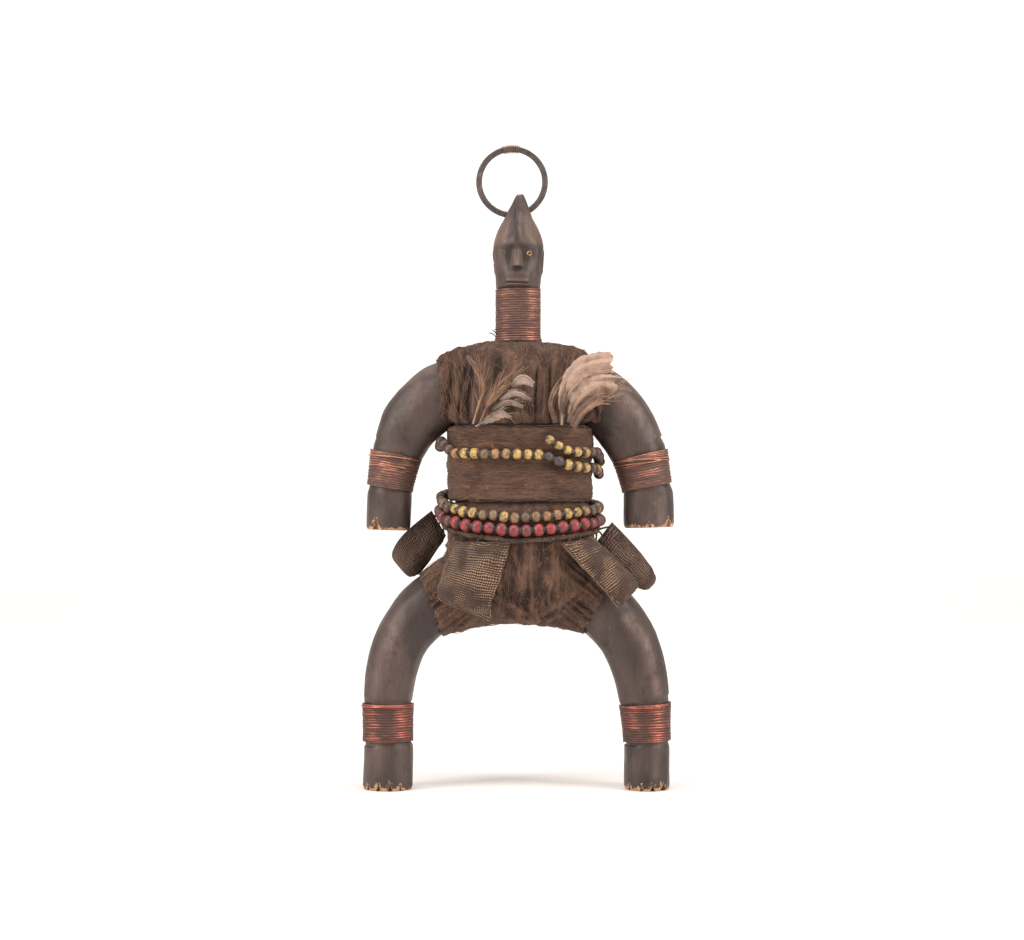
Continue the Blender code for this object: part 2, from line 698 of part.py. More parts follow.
def wrapped_point(bearing, height, out):
    """A point outside the wrapped body: bearing in degrees from the front, distance from the cloth."""
    middle, width, depth, squareness = torso_at(height)
    grow = GAP + max(WAIST_CLOTH, HIP_CLOTH) + out
    x, y = outline_point(width + grow, depth + grow, depth + grow, squareness, math.radians(bearing))
    return Vector((middle + x, y, height))


def even_path(points, closed, out, lower=0.0):
    """A finely divided line round the body through (bearing, height) points, and its length so far."""
    rows = [tuple(p) for p in points]
    if closed:
        ahead = [(b + 360, h) for b, h in rows[:3]]
        rows = [(b - 360, h) for b, h in rows[-2:]] + rows + ahead
        first, last = 2.0, 2.0 + len(points)
    else:
        first, last = 0.0, float(len(rows) - 1)
    steps = 400
    line = []
    for k in range(steps + 1):
        bearing, height = spline(rows, mix(first, last, k / steps))
        line.append(wrapped_point(bearing, U * height - lower, out))
    so_far = [0.0]
    for a, b in zip(line, line[1:]):
        so_far.append(so_far[-1] + (b - a).length)
    return line, so_far


def at_length(path, length):
    line, so_far = path
    index = next((k for k, s in enumerate(so_far) if s >= length), len(so_far) - 1)
    index = max(index, 1)
    share = ramp(length, so_far[index - 1], so_far[index])
    along = (line[index] - line[index - 1]).normalized()
    return line[index - 1].lerp(line[index], share), along


def string_rings(path, radii, closed):
    """Rings across a string, one for each radius, evenly spaced along its path."""
    total = path[1][-1]
    spaces = len(radii) if closed else len(radii) - 1
    rings = []
    for k, radius in enumerate(radii):
        middle, along = at_length(path, total * k / spaces)
        side = along.cross(Vector((0.0, 0.0, 1.0))).normalized()
        up = side.cross(along)
        rings.append([middle + radius * (side * math.cos(t) + up * math.sin(t)) for t in turns(BEAD_SIDES)])
    return rings


def make_bead_string(name, points, bead, pitch, closed, material_name, lower=0.0):
    """Beads threaded close together, as one solid: a ring at the middle of each and between two."""
    radius = bead / 2
    path = even_path(points, closed, radius + GAP, lower)
    count = max(3, round(path[1][-1] / pitch))
    radii = [radius * BEAD_WAIST, radius] * count
    if not closed:
        radii.append(radius * BEAD_WAIST)
    solid(name, loft(string_rings(path, radii, closed), closed), material_name)


def make_beads():
    red_lower = (YELLOW_BEAD + RED_BEAD) / 2 + GAP
    make_bead_string("upper_bead_string", UPPER_STRING, YELLOW_BEAD, YELLOW_PITCH, False, "yellow_beads")
    make_bead_string("lower_yellow_beads", LOWER_STRING, YELLOW_BEAD, YELLOW_PITCH, True, "yellow_beads")
    make_bead_string("red_beads", LOWER_STRING, RED_BEAD, RED_PITCH, True, "red_beads", red_lower)
    return red_lower


def make_pouch_cord(red_lower):
    """A thick crusted cord under the red beads, from which the pouches hang."""
    radius = CORD_DIAMETER / 2
    lower = red_lower + RED_BEAD / 2 + radius + 2 * GAP
    path = even_path(LOWER_STRING, True, radius + GAP, lower)
    radii = [radius * (1.0 if k % 2 else 0.7) for k in range(26)]
    solid("pouch_cord", loft(string_rings(path, radii, True), True), "cloth")


def make_pouch(name, corners):
    """A flat stuffed pouch between its four corners, thin at the seams and full in the middle."""
    top_left, top_right, bottom_right, bottom_left = corners

    def place(left, right, across):
        bearing, height, out = (mix(a, b, across) for a, b in zip(left, right))
        return wrapped_point(bearing, U * height, U * out)

    width = place(top_left, top_right, 1.0) - place(top_left, top_right, 0.0)
    drop = place(bottom_left, bottom_right, 0.0) - place(top_left, top_right, 0.0)
    outward = drop.cross(width).normalized()
    rings = []
    for k in range(POUCH_STEPS + 1):
        share = k / POUCH_STEPS
        fill = mix(POUCH_END_FILL, 1.0, math.sin(math.pi * share) ** 0.6)
        left = [mix(a, b, share) for a, b in zip(top_left, bottom_left)]
        right = [mix(a, b, share) for a, b in zip(top_right, bottom_right)]
        ring = []
        for turn in turns(POUCH_SIDES):
            c, s = math.cos(turn), math.sin(turn)
            across = 0.5 + 0.5 * math.copysign(abs(c) ** 0.7, c)
            ring.append(place(left, right, across) + outward * (POUCH_THICKNESS / 2 * fill * s))
        rings.append(ring)
    solid(name, loft(rings), "pouch_cloth")


def make_feather(name, stations):
    """A thin curved vane, pointed at its tip, that lies before the chest cloth."""
    front = U * max(row[3] for row in TORSO) + GAP + CHEST_CLOTH
    rings = []
    for k in range(FEATHER_STEPS + 1):
        place = (len(stations) - 1) * k / FEATHER_STEPS
        x, height, before, half = spline(stations, place)
        ahead = spline(stations, min(place + 0.05, len(stations) - 1))
        behind = spline(stations, max(place - 0.05, 0.0))
        along = Vector((ahead[0] - behind[0], 0.0, ahead[1] - behind[1])).normalized()
        across = Vector((along.z, 0.0, -along.x))
        ring = []
        for turn in turns(FEATHER_SIDES):
            side = across * U * half * math.cos(turn)
            y = -front - U * before + FEATHER_THICKNESS / 2 * math.sin(turn)
            ring.append((U * x + side.x, y, U * height + side.z))
        rings.append(ring)
    solid(name, loft(rings), "feather")


def main():
    clear_scene()
    make_figure()
    make_chest_cloth()
    make_waist_band()
    make_hip_cloth()
    make_neck_wire()
    make_limb_wire("left_arm_wire", ARMS, LEFT_ARM_WIRE)
    make_limb_wire("right_arm_wire", ARMS, RIGHT_ARM_WIRE)
    make_limb_wire("left_ankle_wire", LEGS, LEFT_ANKLE_WIRE)
    make_limb_wire("right_ankle_wire", LEGS, RIGHT_ANKLE_WIRE)
    solid("hanging_ring", ring_torus(RING_WIRE / 2), "iron")
    solid("ring_binding", ring_binding(), "copper")
    solid("left_eye", eye_bead(0), "brass")
    solid("right_eye", eye_bead(1), "brass")
    red_lower = make_beads()
    make_pouch_cord(red_lower)
    for name, corners in POUCHES.items():
        make_pouch(name, corners)
    for name, stations in FEATHERS.items():
        make_feather(name, stations)


main()
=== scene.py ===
import math
import random

import bmesh
import bpy
import numpy as np
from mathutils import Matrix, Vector
from mathutils.bvhtree import BVHTree


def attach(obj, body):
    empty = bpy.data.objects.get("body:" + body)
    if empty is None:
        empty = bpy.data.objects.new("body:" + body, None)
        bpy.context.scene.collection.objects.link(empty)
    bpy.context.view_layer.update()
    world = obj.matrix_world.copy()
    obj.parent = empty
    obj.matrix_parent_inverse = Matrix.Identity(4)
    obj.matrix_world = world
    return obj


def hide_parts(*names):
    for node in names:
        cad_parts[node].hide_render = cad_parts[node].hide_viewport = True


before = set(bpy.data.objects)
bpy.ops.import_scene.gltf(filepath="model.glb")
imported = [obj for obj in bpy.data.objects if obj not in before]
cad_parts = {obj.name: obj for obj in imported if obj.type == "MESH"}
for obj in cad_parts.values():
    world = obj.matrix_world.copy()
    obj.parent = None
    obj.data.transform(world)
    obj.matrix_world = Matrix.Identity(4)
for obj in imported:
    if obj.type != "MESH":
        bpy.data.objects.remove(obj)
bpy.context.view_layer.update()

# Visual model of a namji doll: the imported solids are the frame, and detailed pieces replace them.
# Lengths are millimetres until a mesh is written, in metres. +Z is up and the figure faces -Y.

MM = 0.001
TAU = 2 * math.pi

# Sizes shared with the solids
GAP = 0.3
CHEST_CLOTH = 5.0
SLEEVE_CLOTH = 3.0
WAIST_CLOTH = 4.2
HIP_CLOTH = 4.0
THIGH_CLOTH = 2.0
RING_DIAMETER = 40.0
RING_WIRE = 3.3
RING_MIDDLE = (-4.4, 1.8, 337.2)
YELLOW_BEAD = 6.2
YELLOW_PITCH = 5.9
RED_BEAD = 7.0
RED_PITCH = 6.8
CORD_DIAMETER = 3.0
EYE_DIAMETER = 3.1
EYE_HOLE = 1.1
POUCH_THICKNESS = 7.0
NECK_WIRE = 1.20
LIMB_WIRE = 1.12

# Detail
CLOTH_VOXEL = 0.85
POUCH_ROWS, POUCH_COLUMNS = 64, 48
STRANDS = {"chest": 620, "waist": 300, "hip": 380}
CRUMBS = 420
PATH_STEPS = 1200

# Simulation of the pouches
SETTLE_SCALE = 10
SETTLE_FRAMES = 20

# Camera, in metres
TARGET = Vector((-0.0044, 0.0, 0.177))
CAMERA_DISTANCE = 1.3
VIEW_WIDTH = 0.569
SENSOR = 36.0

# Torso and neck, upward: height, middle x, half width, half depth, squareness of the outline
TORSO = np.array((
    (97.0, 0.0, 24.0, 15.0, 2.4), (103.0, 0.0, 33.0, 21.0, 2.4), (112.0, 0.0, 36.5, 24.5, 2.4),
    (128.0, 0.0, 37.0, 25.5, 2.4), (165.0, 0.0, 35.8, 24.5, 2.4), (205.0, 0.0, 36.8, 25.6, 2.4),
    (224.0, 0.0, 38.0, 25.0, 2.4), (234.0, 0.0, 37.0, 21.0, 2.4), (240.0, -0.3, 31.0, 16.5, 2.3),
    (243.5, -0.7, 17.4, 12.8, 2.1), (246.0, -1.0, 11.2, 11.2, 2.0), (282.0, -1.0, 11.2, 11.2, 2.0),
))

# Both arms in one bow, from the left hand to the right: x, height, half width, half depth
ARMS = np.array((
    (-73.1, 143.8, 12.4, 12.4), (-72.6, 163.5, 12.4, 12.6), (-72.3, 167.0, 11.6, 12.0),
    (-68.8, 185.5, 13.4, 13.2), (-67.2, 189.5, 14.8, 13.8), (-60.6, 203.0, 17.0, 15.2),
    (-49.0, 214.4, 18.2, 16.0), (-32.0, 221.3, 18.4, 16.4), (0.7, 222.0, 17.0, 17.0),
    (32.0, 220.5, 18.2, 16.4), (48.6, 212.4, 18.0, 16.0), (59.6, 199.5, 17.2, 15.4),
    (65.0, 189.0, 16.2, 14.6), (66.8, 185.0, 14.6, 13.6), (70.6, 167.5, 12.8, 12.8),
    (71.2, 164.0, 13.8, 13.2), (71.7, 145.2, 14.2, 12.8),
))

# Both legs in one arch, from the left foot to the right
LEGS = np.array((
    (-73.1, 0.0, 13.9, 14.0), (-73.1, 23.0, 13.8, 13.8), (-73.3, 26.8, 12.8, 13.0),
    (-73.3, 47.4, 13.1, 13.2), (-73.2, 51.0, 13.7, 13.8), (-71.2, 66.7, 14.5, 14.4),
    (-66.8, 80.5, 15.2, 15.0), (-58.6, 93.0, 16.3, 15.8), (-46.0, 103.7, 17.2, 16.4),
    (-28.0, 110.5, 18.4, 17.0), (-0.7, 112.5, 18.6, 17.4), (28.0, 109.8, 18.4, 17.0),
    (43.5, 101.9, 17.3, 16.4), (55.4, 89.5, 16.5, 15.8), (62.0, 78.0, 15.8, 15.0),
    (66.6, 64.5, 14.9, 14.4), (68.9, 50.8, 14.2, 13.8), (69.5, 47.2, 13.2, 13.2),
    (70.6, 26.8, 12.0, 12.8), (70.6, 23.0, 12.9, 13.4), (70.6, 0.0, 12.8, 14.0),
))

# Head, upward: height, middle x, half width, half depth in front, half depth behind
HEAD = np.array((
    (277.8, -0.9, 12.2, 12.4, 12.0), (279.6, -0.9, 12.4, 12.9, 12.3), (285.0, -0.8, 12.8, 13.3, 13.1),
    (291.3, -0.8, 13.4, 13.2, 13.9), (296.4, -0.8, 13.9, 13.2, 14.6), (300.2, -0.8, 14.0, 13.4, 14.8),
    (301.4, -0.8, 14.0, 13.4, 14.8), (305.0, -0.8, 13.3, 12.8, 14.6), (309.0, -0.9, 11.9, 11.4, 13.9),
    (312.8, -0.9, 10.1, 9.9, 12.8), (316.7, -0.7, 7.9, 8.3, 11.2), (320.6, -0.5, 6.3, 6.5, 9.3),
    (324.5, -0.1, 4.5, 4.7, 6.9), (328.4, 0.1, 2.8, 2.9, 4.2), (330.0, 0.2, 1.9, 2.0, 2.9),
))
FACE_X = -1.7
EYES = (-6.9, 6.9)
EYE_HEIGHT = 296.4
MOUTH_HEIGHT = 280.2
NOSE_FOOT = 288.9
BROW = 300.6

# Edges of the cloths: two points (x, height) for each sloping side, and heights
CHEST_OUTLINE = ((-49.0, 262.0), (-42.8, 201.3), (44.0, 201.3), (53.0, 262.0))
HIP_LEFT = ((-66.0, 141.0), (-38.4, 75.0))
HIP_RIGHT = ((63.7, 141.0), (29.5, 75.0))
CLOTH_BOTTOM = 94.5
CHEST_SLITS = (      # x at height 210, lean, half width
    (-39.5, 0.10, 1.3), (-34.0, 0.16, 1.0), (-29.0, 0.13, 1.2), (41.0, -0.2, 1.2), (36.0, -0.1, 0.9),
    (17.0, -0.02, 0.8), (8.0, 0.03, 0.7),
)
HIP_ROPES = ((0.62, 92.0, 1.5), (-0.55, 99.0, 1.3), (0.75, 84.0, 1.2))      # slope, height, half width
WAIST_BOTTOM = 160.0
WAIST_TOP = 201.0
NECK_CLOTH_TOP = 247.6

# Chipped ends: the limb's last station, shares across it, and sizes
NOTCHES = {
    "left_hand": (ARMS[0], (-0.53, 0.16, 0.56), (1.35, 0.5, 0.45)),
    "right_hand": (ARMS[-1], (-0.58, -0.02, 0.72), (0.5, 0.7, 1.25)),
    "left_foot": (LEGS[0], (-0.78, -0.36, 0.10, 0.50), (0.8, 1.0, 1.05, 0.9)),
    "right_foot": (LEGS[-1], (-0.80, -0.30, 0.18, 0.64), (0.8, 0.9, 1.0, 1.15)),
}

# Lines on arms and legs painted pale as highlights where the side lights catch them: points (x, height),
# width, strength
PAINTED_HIGHLIGHT_LINES = (
    (((-67.8, 90.6), (-76.0, 74.0), (-81.0, 54.0)), 3.2, 0.40),
    (((58.0, 96.0), (69.0, 82.0), (76.0, 54.0)), 2.6, 0.75),
    (((-79.0, 214.0), (-84.0, 196.0)), 5.0, 0.65),
    (((50.0, 222.0), (64.0, 210.0), (74.0, 196.0)), 3.6, 0.60),
    (((-78.0, 26.0), (-77.0, 8.0)), 2.4, 0.30),
    (((76.0, 26.0), (75.0, 8.0)), 2.6, 0.30),
    (((-66.0, 225.0), (-50.0, 233.0)), 3.0, 0.35),
    (((78.0, 160.0), (77.0, 148.0)), 2.6, 0.4),
)

# Bead strings: bearing in degrees from the front, and height
UPPER_STRING = (
    (14, 195.0), (24, 190.4), (36, 187.2), (61, 186.8), (76, 185.6), (90, 181.2), (104, 185.0),
    (135, 189.0), (180, 190.4), (225, 191.0), (256, 190.6), (270, 190.0), (283, 192.6), (294, 190.6),
    (306, 187.0), (324, 186.2), (360, 185.6), (375, 184.4), (390, 180.4), (410, 178.4), (436, 177.6),
    (450, 174.2), (464, 177.0), (495, 180.2), (540, 181.6), (580, 182.6),
)
# The red beads hang this far under the lower yellow ones, and the cord this far
RED_LOWER = (YELLOW_BEAD + RED_BEAD) / 2 + GAP
CORD_LOWER = RED_LOWER + RED_BEAD / 2 + CORD_DIAMETER / 2 + 2 * GAP
LOWER_STRING = (
    (0, 151.2), (36, 153.6), (62, 155.2), (90, 156.4), (135, 158.6), (180, 161.0), (235, 163.4),
    (268, 161.6), (298, 157.0), (324, 154.0), (348, 152.0),
)

# Pouches: corners top left, top right, bottom right and bottom left, each bearing, height and
# how far it stands out from the cloth
POUCHES = {
    "pouch_front_left": ((-53, 136.6, 2.3), (-4, 135.8, 3.1), (-21, 93.4, 11.2), (-56, 106.5, 13.0)),
    "pouch_side_left": ((-100, 150.5, 12.3), (-98, 137.0, 3.2), (-97, 115.6, 20.2), (-98, 129.5, 32.0)),
    "pouch_front_right": ((28, 135.4, 3.7), (61, 139.8, 3.9), (73, 115.0, 26.4), (60, 101.0, 23.6)),
    "pouch_side_right": ((78, 131.0, 2.6), (86, 144.0, 13.0), (89, 117.0, 35.3), (83, 109.5, 28.3)),
}

# Feathers: x, height, how far it stands before the chest cloth, half width
FEATHERS = {
    "feather_left_quill": (
        (-25.5, 202.0, 0.8, 1.4), (-22.5, 213.0, 1.6, 3.6), (-20.0, 223.0, 2.4, 4.4), (-24.5, 238.0, 3.4, 0.9),
    ),
    "feather_left_fan": (
        (-22.0, 202.4, 1.6, 1.4), (-17.0, 213.0, 2.8, 3.6), (-9.0, 223.0, 3.6, 4.2), (2.0, 228.0, 4.2, 1.6),
    ),
    "feather_left_curl": (
        (-20.0, 201.8, 3.6, 1.3), (-12.0, 209.0, 4.8, 3.4), (-2.0, 215.2, 5.4, 4.0), (7.5, 214.0, 5.0, 1.8),
    ),
    "feather_left_tuft": (
        (-24.0, 200.6, 5.0, 1.2), (-17.5, 204.2, 6.0, 2.4), (-9.5, 207.6, 6.6, 2.8), (-2.6, 204.8, 6.6, 1.4),
    ),
    "feather_right_back": (
        (19.5, 202.6, 0.8, 1.3), (16.8, 212.0, 1.6, 2.0), (20.0, 221.0, 2.4, 2.4), (27.5, 229.5, 3.2, 1.0),
    ),
    "feather_right_arch": (
        (22.5, 201.4, 2.4, 1.6), (24.0, 217.0, 3.6, 4.6), (33.5, 231.0, 5.0, 6.0), (51.0, 234.6, 5.8, 3.4),
    ),
    "feather_right_broad": (
        (26.0, 200.6, 4.2, 1.8), (30.0, 213.0, 5.4, 5.0), (40.0, 223.0, 6.6, 6.0), (56.0, 223.6, 7.0, 4.2),
    ),
    "feather_right_low": (
        (28.5, 200.2, 6.4, 1.4), (33.0, 208.0, 7.4, 3.2), (41.5, 214.6, 8.2, 3.6), (51.5, 215.4, 8.4, 1.8),
    ),
}

# Bands across the curled feather: stations as above, half width, tone
CURL_BANDS = (
    (((-4.5, 222.5, 5.2, 1.0), (1.5, 226.0, 5.8, 1.0), (7.8, 222.6, 5.0, 1.0)), 2.7, 0.42),
    (((-10.5, 214.6, 5.4, 1.0), (-2.5, 219.0, 6.4, 1.0), (6.4, 215.0, 5.4, 1.0)), 2.1, 0.34),
    (((-15.0, 209.4, 5.2, 1.0), (-6.5, 213.6, 6.0, 1.0), (2.0, 211.0, 5.4, 1.0)), 1.7, 0.26),
)


# Numbers

def smooth(value, start, end):
    """0 before start, 1 past end, smooth between; start may be above end."""
    share = np.clip((np.asarray(value, float) - start) / (end - start), 0.0, 1.0)
    return share * share * (3 - 2 * share)


def bell(value, middle, half):
    """1 at the middle, falling to 0 within about two halves on either side."""
    return np.exp(-((value - middle) / half) ** 2)


def unit(vectors):
    return vectors / np.linalg.norm(vectors, axis=-1, keepdims=True)


def circle(steps):
    """Angles all round, the first of them 0."""
    return np.arange(steps) * TAU / steps


def lengths_along(points):
    return np.concatenate([[0], np.cumsum(np.linalg.norm(np.diff(points, axis=0), axis=1))])


def noise3(points, seed=0):
    """Smooth noise from -1 to 1 at points (n, 3)."""
    points = np.asarray(points, float)
    cell = np.floor(points).astype(np.int64)
    part = points - cell
    part = part * part * (3 - 2 * part)
    total = np.zeros(len(points))
    for corner in np.ndindex(2, 2, 2):
        at = cell + np.array(corner)
        mixed = at[:, 0] * 374761393 + at[:, 1] * 668265263 + at[:, 2] * 1440662683 + seed * 974711
        mixed = (mixed ^ (mixed >> 13)) * 1274126177
        mixed = ((mixed ^ (mixed >> 16)) & 0xFFFFFF) / float(0x7FFFFF) - 1.0
        total += np.prod(np.where(corner, part, 1 - part), axis=1) * mixed
    return total


def layers(points, size, seed=0, octaves=3):
    """Noise in layers; size is the width of the largest bumps, a number or one for each axis."""
    total, strength = 0.0, 1.0
    for k in range(octaves):
        finer = np.asarray(size, float) / 2 ** k
        total = total + strength * noise3(np.asarray(points) / finer, seed + 7 * k)
        strength *= 0.5
    return total


def spline(points, place):
    """Catmull-Rom curve through rows of numbers; place counts the rows from 0."""
    points = np.asarray(points, float)
    last = len(points) - 1
    first = 2 * points[0] - points[1]
    end = 2 * points[last] - points[last - 1]
    rows = np.vstack([first, points, end])
    place = np.atleast_1d(np.asarray(place, float))
    index = np.minimum(place.astype(int), last - 1)
    t = (place - index)[:, None]
    a, b, c, d = (rows[index + k] for k in range(4))
    return b + 0.5 * t * (c - a + t * (2 * a - 5 * b + 4 * c - d + t * (3 * (b - c) + d - a)))


def curve(points, count):
    """Points evenly spaced along the smooth curve through the given ones."""
    fine = spline(points, np.linspace(0, len(points) - 1, 24 * len(points)))
    so_far = lengths_along(fine[:, :3])
    wanted = np.linspace(0, so_far[-1], count)
    return np.column_stack([np.interp(wanted, so_far, column) for column in fine.T])


# Meshes

def make(name, vertices, faces, smooth_angle=None):
    """An object from vertices in millimetres."""
    mesh = bpy.data.meshes.new(name)
    mesh.from_pydata((np.asarray(vertices) * MM).tolist(), [], [tuple(map(int, f)) for f in faces])
    mesh.update()
    mesh.shade_smooth()
    if smooth_angle:
        mesh.set_sharp_from_angle(angle=math.radians(smooth_angle))
    made = bpy.data.objects.new(name, mesh)
    bpy.context.scene.collection.objects.link(made)
    return made


def grid_faces(rings, sides, closed=False, caps=True, start=0):
    """Faces of a skin over rings of equally many points."""
    low = np.arange(rings if closed else rings - 1)[:, None] * sides
    high = (low + sides) % (rings * sides)
    k = np.arange(sides)[None, :]
    n = (k + 1) % sides
    faces = np.stack([low + k, low + n, high + n, high + k], axis=-1).reshape(-1, 4) + start
    faces = faces.tolist()
    if caps and not closed:
        faces.append([start + s for s in range(sides)][::-1])
        faces.append([start + (rings - 1) * sides + s for s in range(sides)])
    return faces


def border(rows, columns):
    """The numbers of the points round a grid: its top, right, bottom and left edges."""
    numbers = np.arange(rows * columns).reshape(rows, columns)
    edges = numbers[0], numbers[1:, -1], numbers[-1, -2::-1], numbers[-2:0:-1, 0]
    return [edge.tolist() for edge in edges]


def loft(name, rings, closed=False, **settings):
    rings = np.asarray(rings, float)
    return make(name, rings.reshape(-1, 3), grid_faces(len(rings), rings.shape[1], closed), **settings)


class Heap:
    """Many small parts gathered into one mesh, with a number for each part."""

    def __init__(self):
        self.vertices, self.faces, self.tones, self.grime, self.count = [], [], [], [], 0

    def add(self, vertices, faces, tone=0.0):
        vertices = np.asarray(vertices, float).reshape(-1, 3)
        self.faces += [[self.count + i for i in face] for face in faces]
        self.vertices.append(vertices)
        self.tones.append(np.broadcast_to(np.asarray(tone, float), (len(vertices),)))
        self.count += len(vertices)

    def tube(self, path, radius, sides=6, tone=0.0, closed=False):
        path = np.asarray(path, float)
        rings = tube_rings(path, radius, sides, closed)
        tone = np.repeat(np.broadcast_to(tone, (len(path),)), sides)
        self.add(rings, grid_faces(len(path), sides, closed), tone)

    def object(self, name, smooth_angle=None):
        made = make(name, np.concatenate(self.vertices), self.faces, smooth_angle)
        paint(made, "tone", np.concatenate(self.tones))
        return made


def paint(piece, name, values):
    """A number at each vertex, for the piece's material."""
    layer = piece.data.attributes.new(name, "FLOAT", "POINT")
    layer.data.foreach_set("value", np.asarray(values, np.float32))


def tube_rings(path, radius, sides, closed=False):
    path = np.asarray(path, float)
    if closed:
        along = np.roll(path, -1, 0) - np.roll(path, 1, 0)
    else:
        along = np.gradient(path, axis=0)
    along = unit(along)
    rough = np.where(np.abs(along[:, 2:]) > 0.95, [[1.0, 0, 0]], [[0, 0, 1.0]])
    if abs(along[:, 2]).mean() > 0.7:
        rough = np.broadcast_to([[1.0, 0.0, 0.0]], along.shape)
    side = unit(np.cross(along, rough))
    up = np.cross(side, along)
    turn = circle(sides)
    radius = np.broadcast_to(radius, (len(path),))[:, None, None]
    out = side[:, None] * np.cos(turn)[None, :, None] + up[:, None] * np.sin(turn)[None, :, None]
    return path[:, None] + radius * out


def points_of(piece):
    co = np.empty(len(piece.data.vertices) * 3)
    piece.data.vertices.foreach_get("co", co)
    return co.reshape(-1, 3) / MM


def normals_of(piece):
    out = np.empty(len(piece.data.vertices) * 3)
    piece.data.vertices.foreach_get("normal", out)
    return out.reshape(-1, 3)


def move(piece, points):
    piece.data.vertices.foreach_set("co", (np.asarray(points) * MM).ravel())
    piece.data.update()


def bake(piece):
    """Applies the modifiers."""
    depsgraph = bpy.context.evaluated_depsgraph_get()
    mesh = bpy.data.meshes.new_from_object(piece.evaluated_get(depsgraph))
    piece.modifiers.clear()
    piece.data = mesh
    return piece


def boolean(piece, other, operation, transfer=False):
    change = piece.modifiers.new("cut", "BOOLEAN")
    change.operation = operation
    change.object = other
    change.solver = "EXACT"
    if transfer:
        change.material_mode = "TRANSFER"
    bake(piece)
    bpy.data.objects.remove(other)


# Materials

class Graph:
    """A material with a Principled shader, and short ways to add nodes."""

    def __init__(self, name):
        self.material = bpy.data.materials.new(name)
        self.material.use_nodes = True
        self.tree = self.material.node_tree
        self.shader = self.tree.nodes["Principled BSDF"]
        self.where = self.add("TexCoord").outputs["Object"]

    def add(self, kind, inputs=None, **settings):
        node = self.tree.nodes.new("ShaderNode" + kind)
        for key, value in settings.items():
            setattr(node, key, value)
        for key, value in (inputs or {}).items():
            self.put(node.inputs[key], value)
        return node

    def put(self, socket, value):
        if isinstance(value, bpy.types.NodeSocket):
            self.tree.links.new(value, socket)
        elif isinstance(value, (tuple, list)) and len(value) == 3 and socket.type == "RGBA":
            socket.default_value = (*value, 1.0)
        else:
            socket.default_value = value

    def noise(self, size, detail=4.0, rough=0.55, stretch=(1, 1, 1), twist=0.0):
        """size is the width of the bumps in millimetres."""
        scale = tuple(1.0 / (MM * size * s) for s in stretch)
        at = self.add("Mapping", {"Vector": self.where, "Scale": scale}).outputs[0]
        made = self.add("TexNoise", {"Vector": at, "Scale": 1.0, "Detail": detail, "Roughness": rough,
                                     "Distortion": twist})
        return made.outputs["Fac"]

    def ramp(self, value, stops):
        node = self.add("ValToRGB", {"Fac": value})
        for k, (at, colour) in enumerate(stops):
            element = node.color_ramp.elements[k] if k < 2 else node.color_ramp.elements.new(at)
            element.position = at
            element.color = (*colour, 1.0)
        return node.outputs["Color"]

    def span(self, value, low, high, to_low=0.0, to_high=1.0):
        inputs = {"Value": value, "From Min": low, "From Max": high, "To Min": to_low, "To Max": to_high}
        return self.add("MapRange", inputs, clamp=True).outputs["Result"]

    def mix(self, share, one, two):
        """Two colours; a colour mix has its own sockets after those for numbers and vectors."""
        node = self.add("Mix", {"Factor": share}, data_type="RGBA")
        self.put(node.inputs[6], one)
        self.put(node.inputs[7], two)
        return node.outputs[2]

    def over(self, colour, tint, value, low, high, strength=1.0):
        """The tint over the colour, from none where value is low to strength where it is high."""
        return self.mix(self.span(value, low, high, 0.0, strength), colour, tint)

    def math(self, operation, one, two=0.0):
        node = self.add("Math", operation=operation)
        self.put(node.inputs[0], one)
        self.put(node.inputs[1], two)
        return node.outputs[0]

    def times(self, one, two):
        return self.math("MULTIPLY", one, two)

    def plus(self, one, two):
        return self.math("ADD", one, two)

    def tone(self, name="tone"):
        return self.add("Attribute", attribute_name=name).outputs["Fac"]

    def bump(self, heights):
        """heights is a list of (height socket, strength, depth in millimetres)."""
        normal = None
        for height, strength, depth in heights:
            node = self.add("Bump", {"Height": height, "Strength": strength, "Distance": depth * MM})
            if normal:
                self.put(node.inputs["Normal"], normal)
            normal = node.outputs["Normal"]
        self.put(self.shader.inputs["Normal"], normal)

    def finish(self, colour, roughness, **values):
        self.put(self.shader.inputs["Base Color"], colour)
        self.put(self.shader.inputs["Roughness"], roughness)
        for name, value in values.items():
            self.put(self.shader.inputs[name.replace("_", " ")], value)
        return self.material


def wood_material():
    g = Graph("dark_worn_wood")
    broad = g.noise(30, 3, stretch=(1, 1, 1.6))
    grain = g.noise(0.9, 5, 0.6, stretch=(1, 1, 22))
    fine = g.noise(0.6, 4, 0.6)
    soot = g.noise(9, 5, 0.65, twist=0.5)
    worn = g.tone("worn")
    dark = g.ramp(broad, ((0.30, (0.028, 0.0185, 0.0165)), (0.70, (0.052, 0.035, 0.0305))))
    # Paler where worn and where highlights are painted, darker where shade is painted, as the worn attribute
    # gives
    colour = g.mix(worn, dark, (0.158, 0.101, 0.083))
    colour = g.mix(g.times(g.span(grain, 0.52, 0.36), 0.35), colour, (0.028, 0.016, 0.013))
    colour = g.over(colour, (0.026, 0.016, 0.014), soot, 0.54, 0.70, 0.65)
    scuffs = g.span(g.noise(4.5, 6, 0.7, stretch=(1, 1, 2.5), twist=0.6), 0.64, 0.74)
    colour = g.mix(g.times(scuffs, 0.40), colour, (0.26, 0.17, 0.13))
    bare = g.tone("bare")
    ragged = g.span(g.plus(bare, g.span(g.noise(1.6, 4), 0.3, 0.7, -0.45, 0.45)), 0.42, 0.62)
    fresh = g.ramp(grain, ((0.3, (0.30, 0.16, 0.085)), (0.7, (0.56, 0.36, 0.22))))
    colour = g.mix(ragged, colour, fresh)
    rough = g.span(soot, 0.3, 0.7, 0.36, 0.56)
    rough = g.plus(rough, g.times(ragged, 0.3))
    g.bump([(g.noise(6, 3), 0.35, 0.6), (grain, 0.25, 0.25), (fine, 0.25, 0.12), (scuffs, -0.2, 0.2)])
    return g.finish(colour, rough, Specular_IOR_Level=0.36)


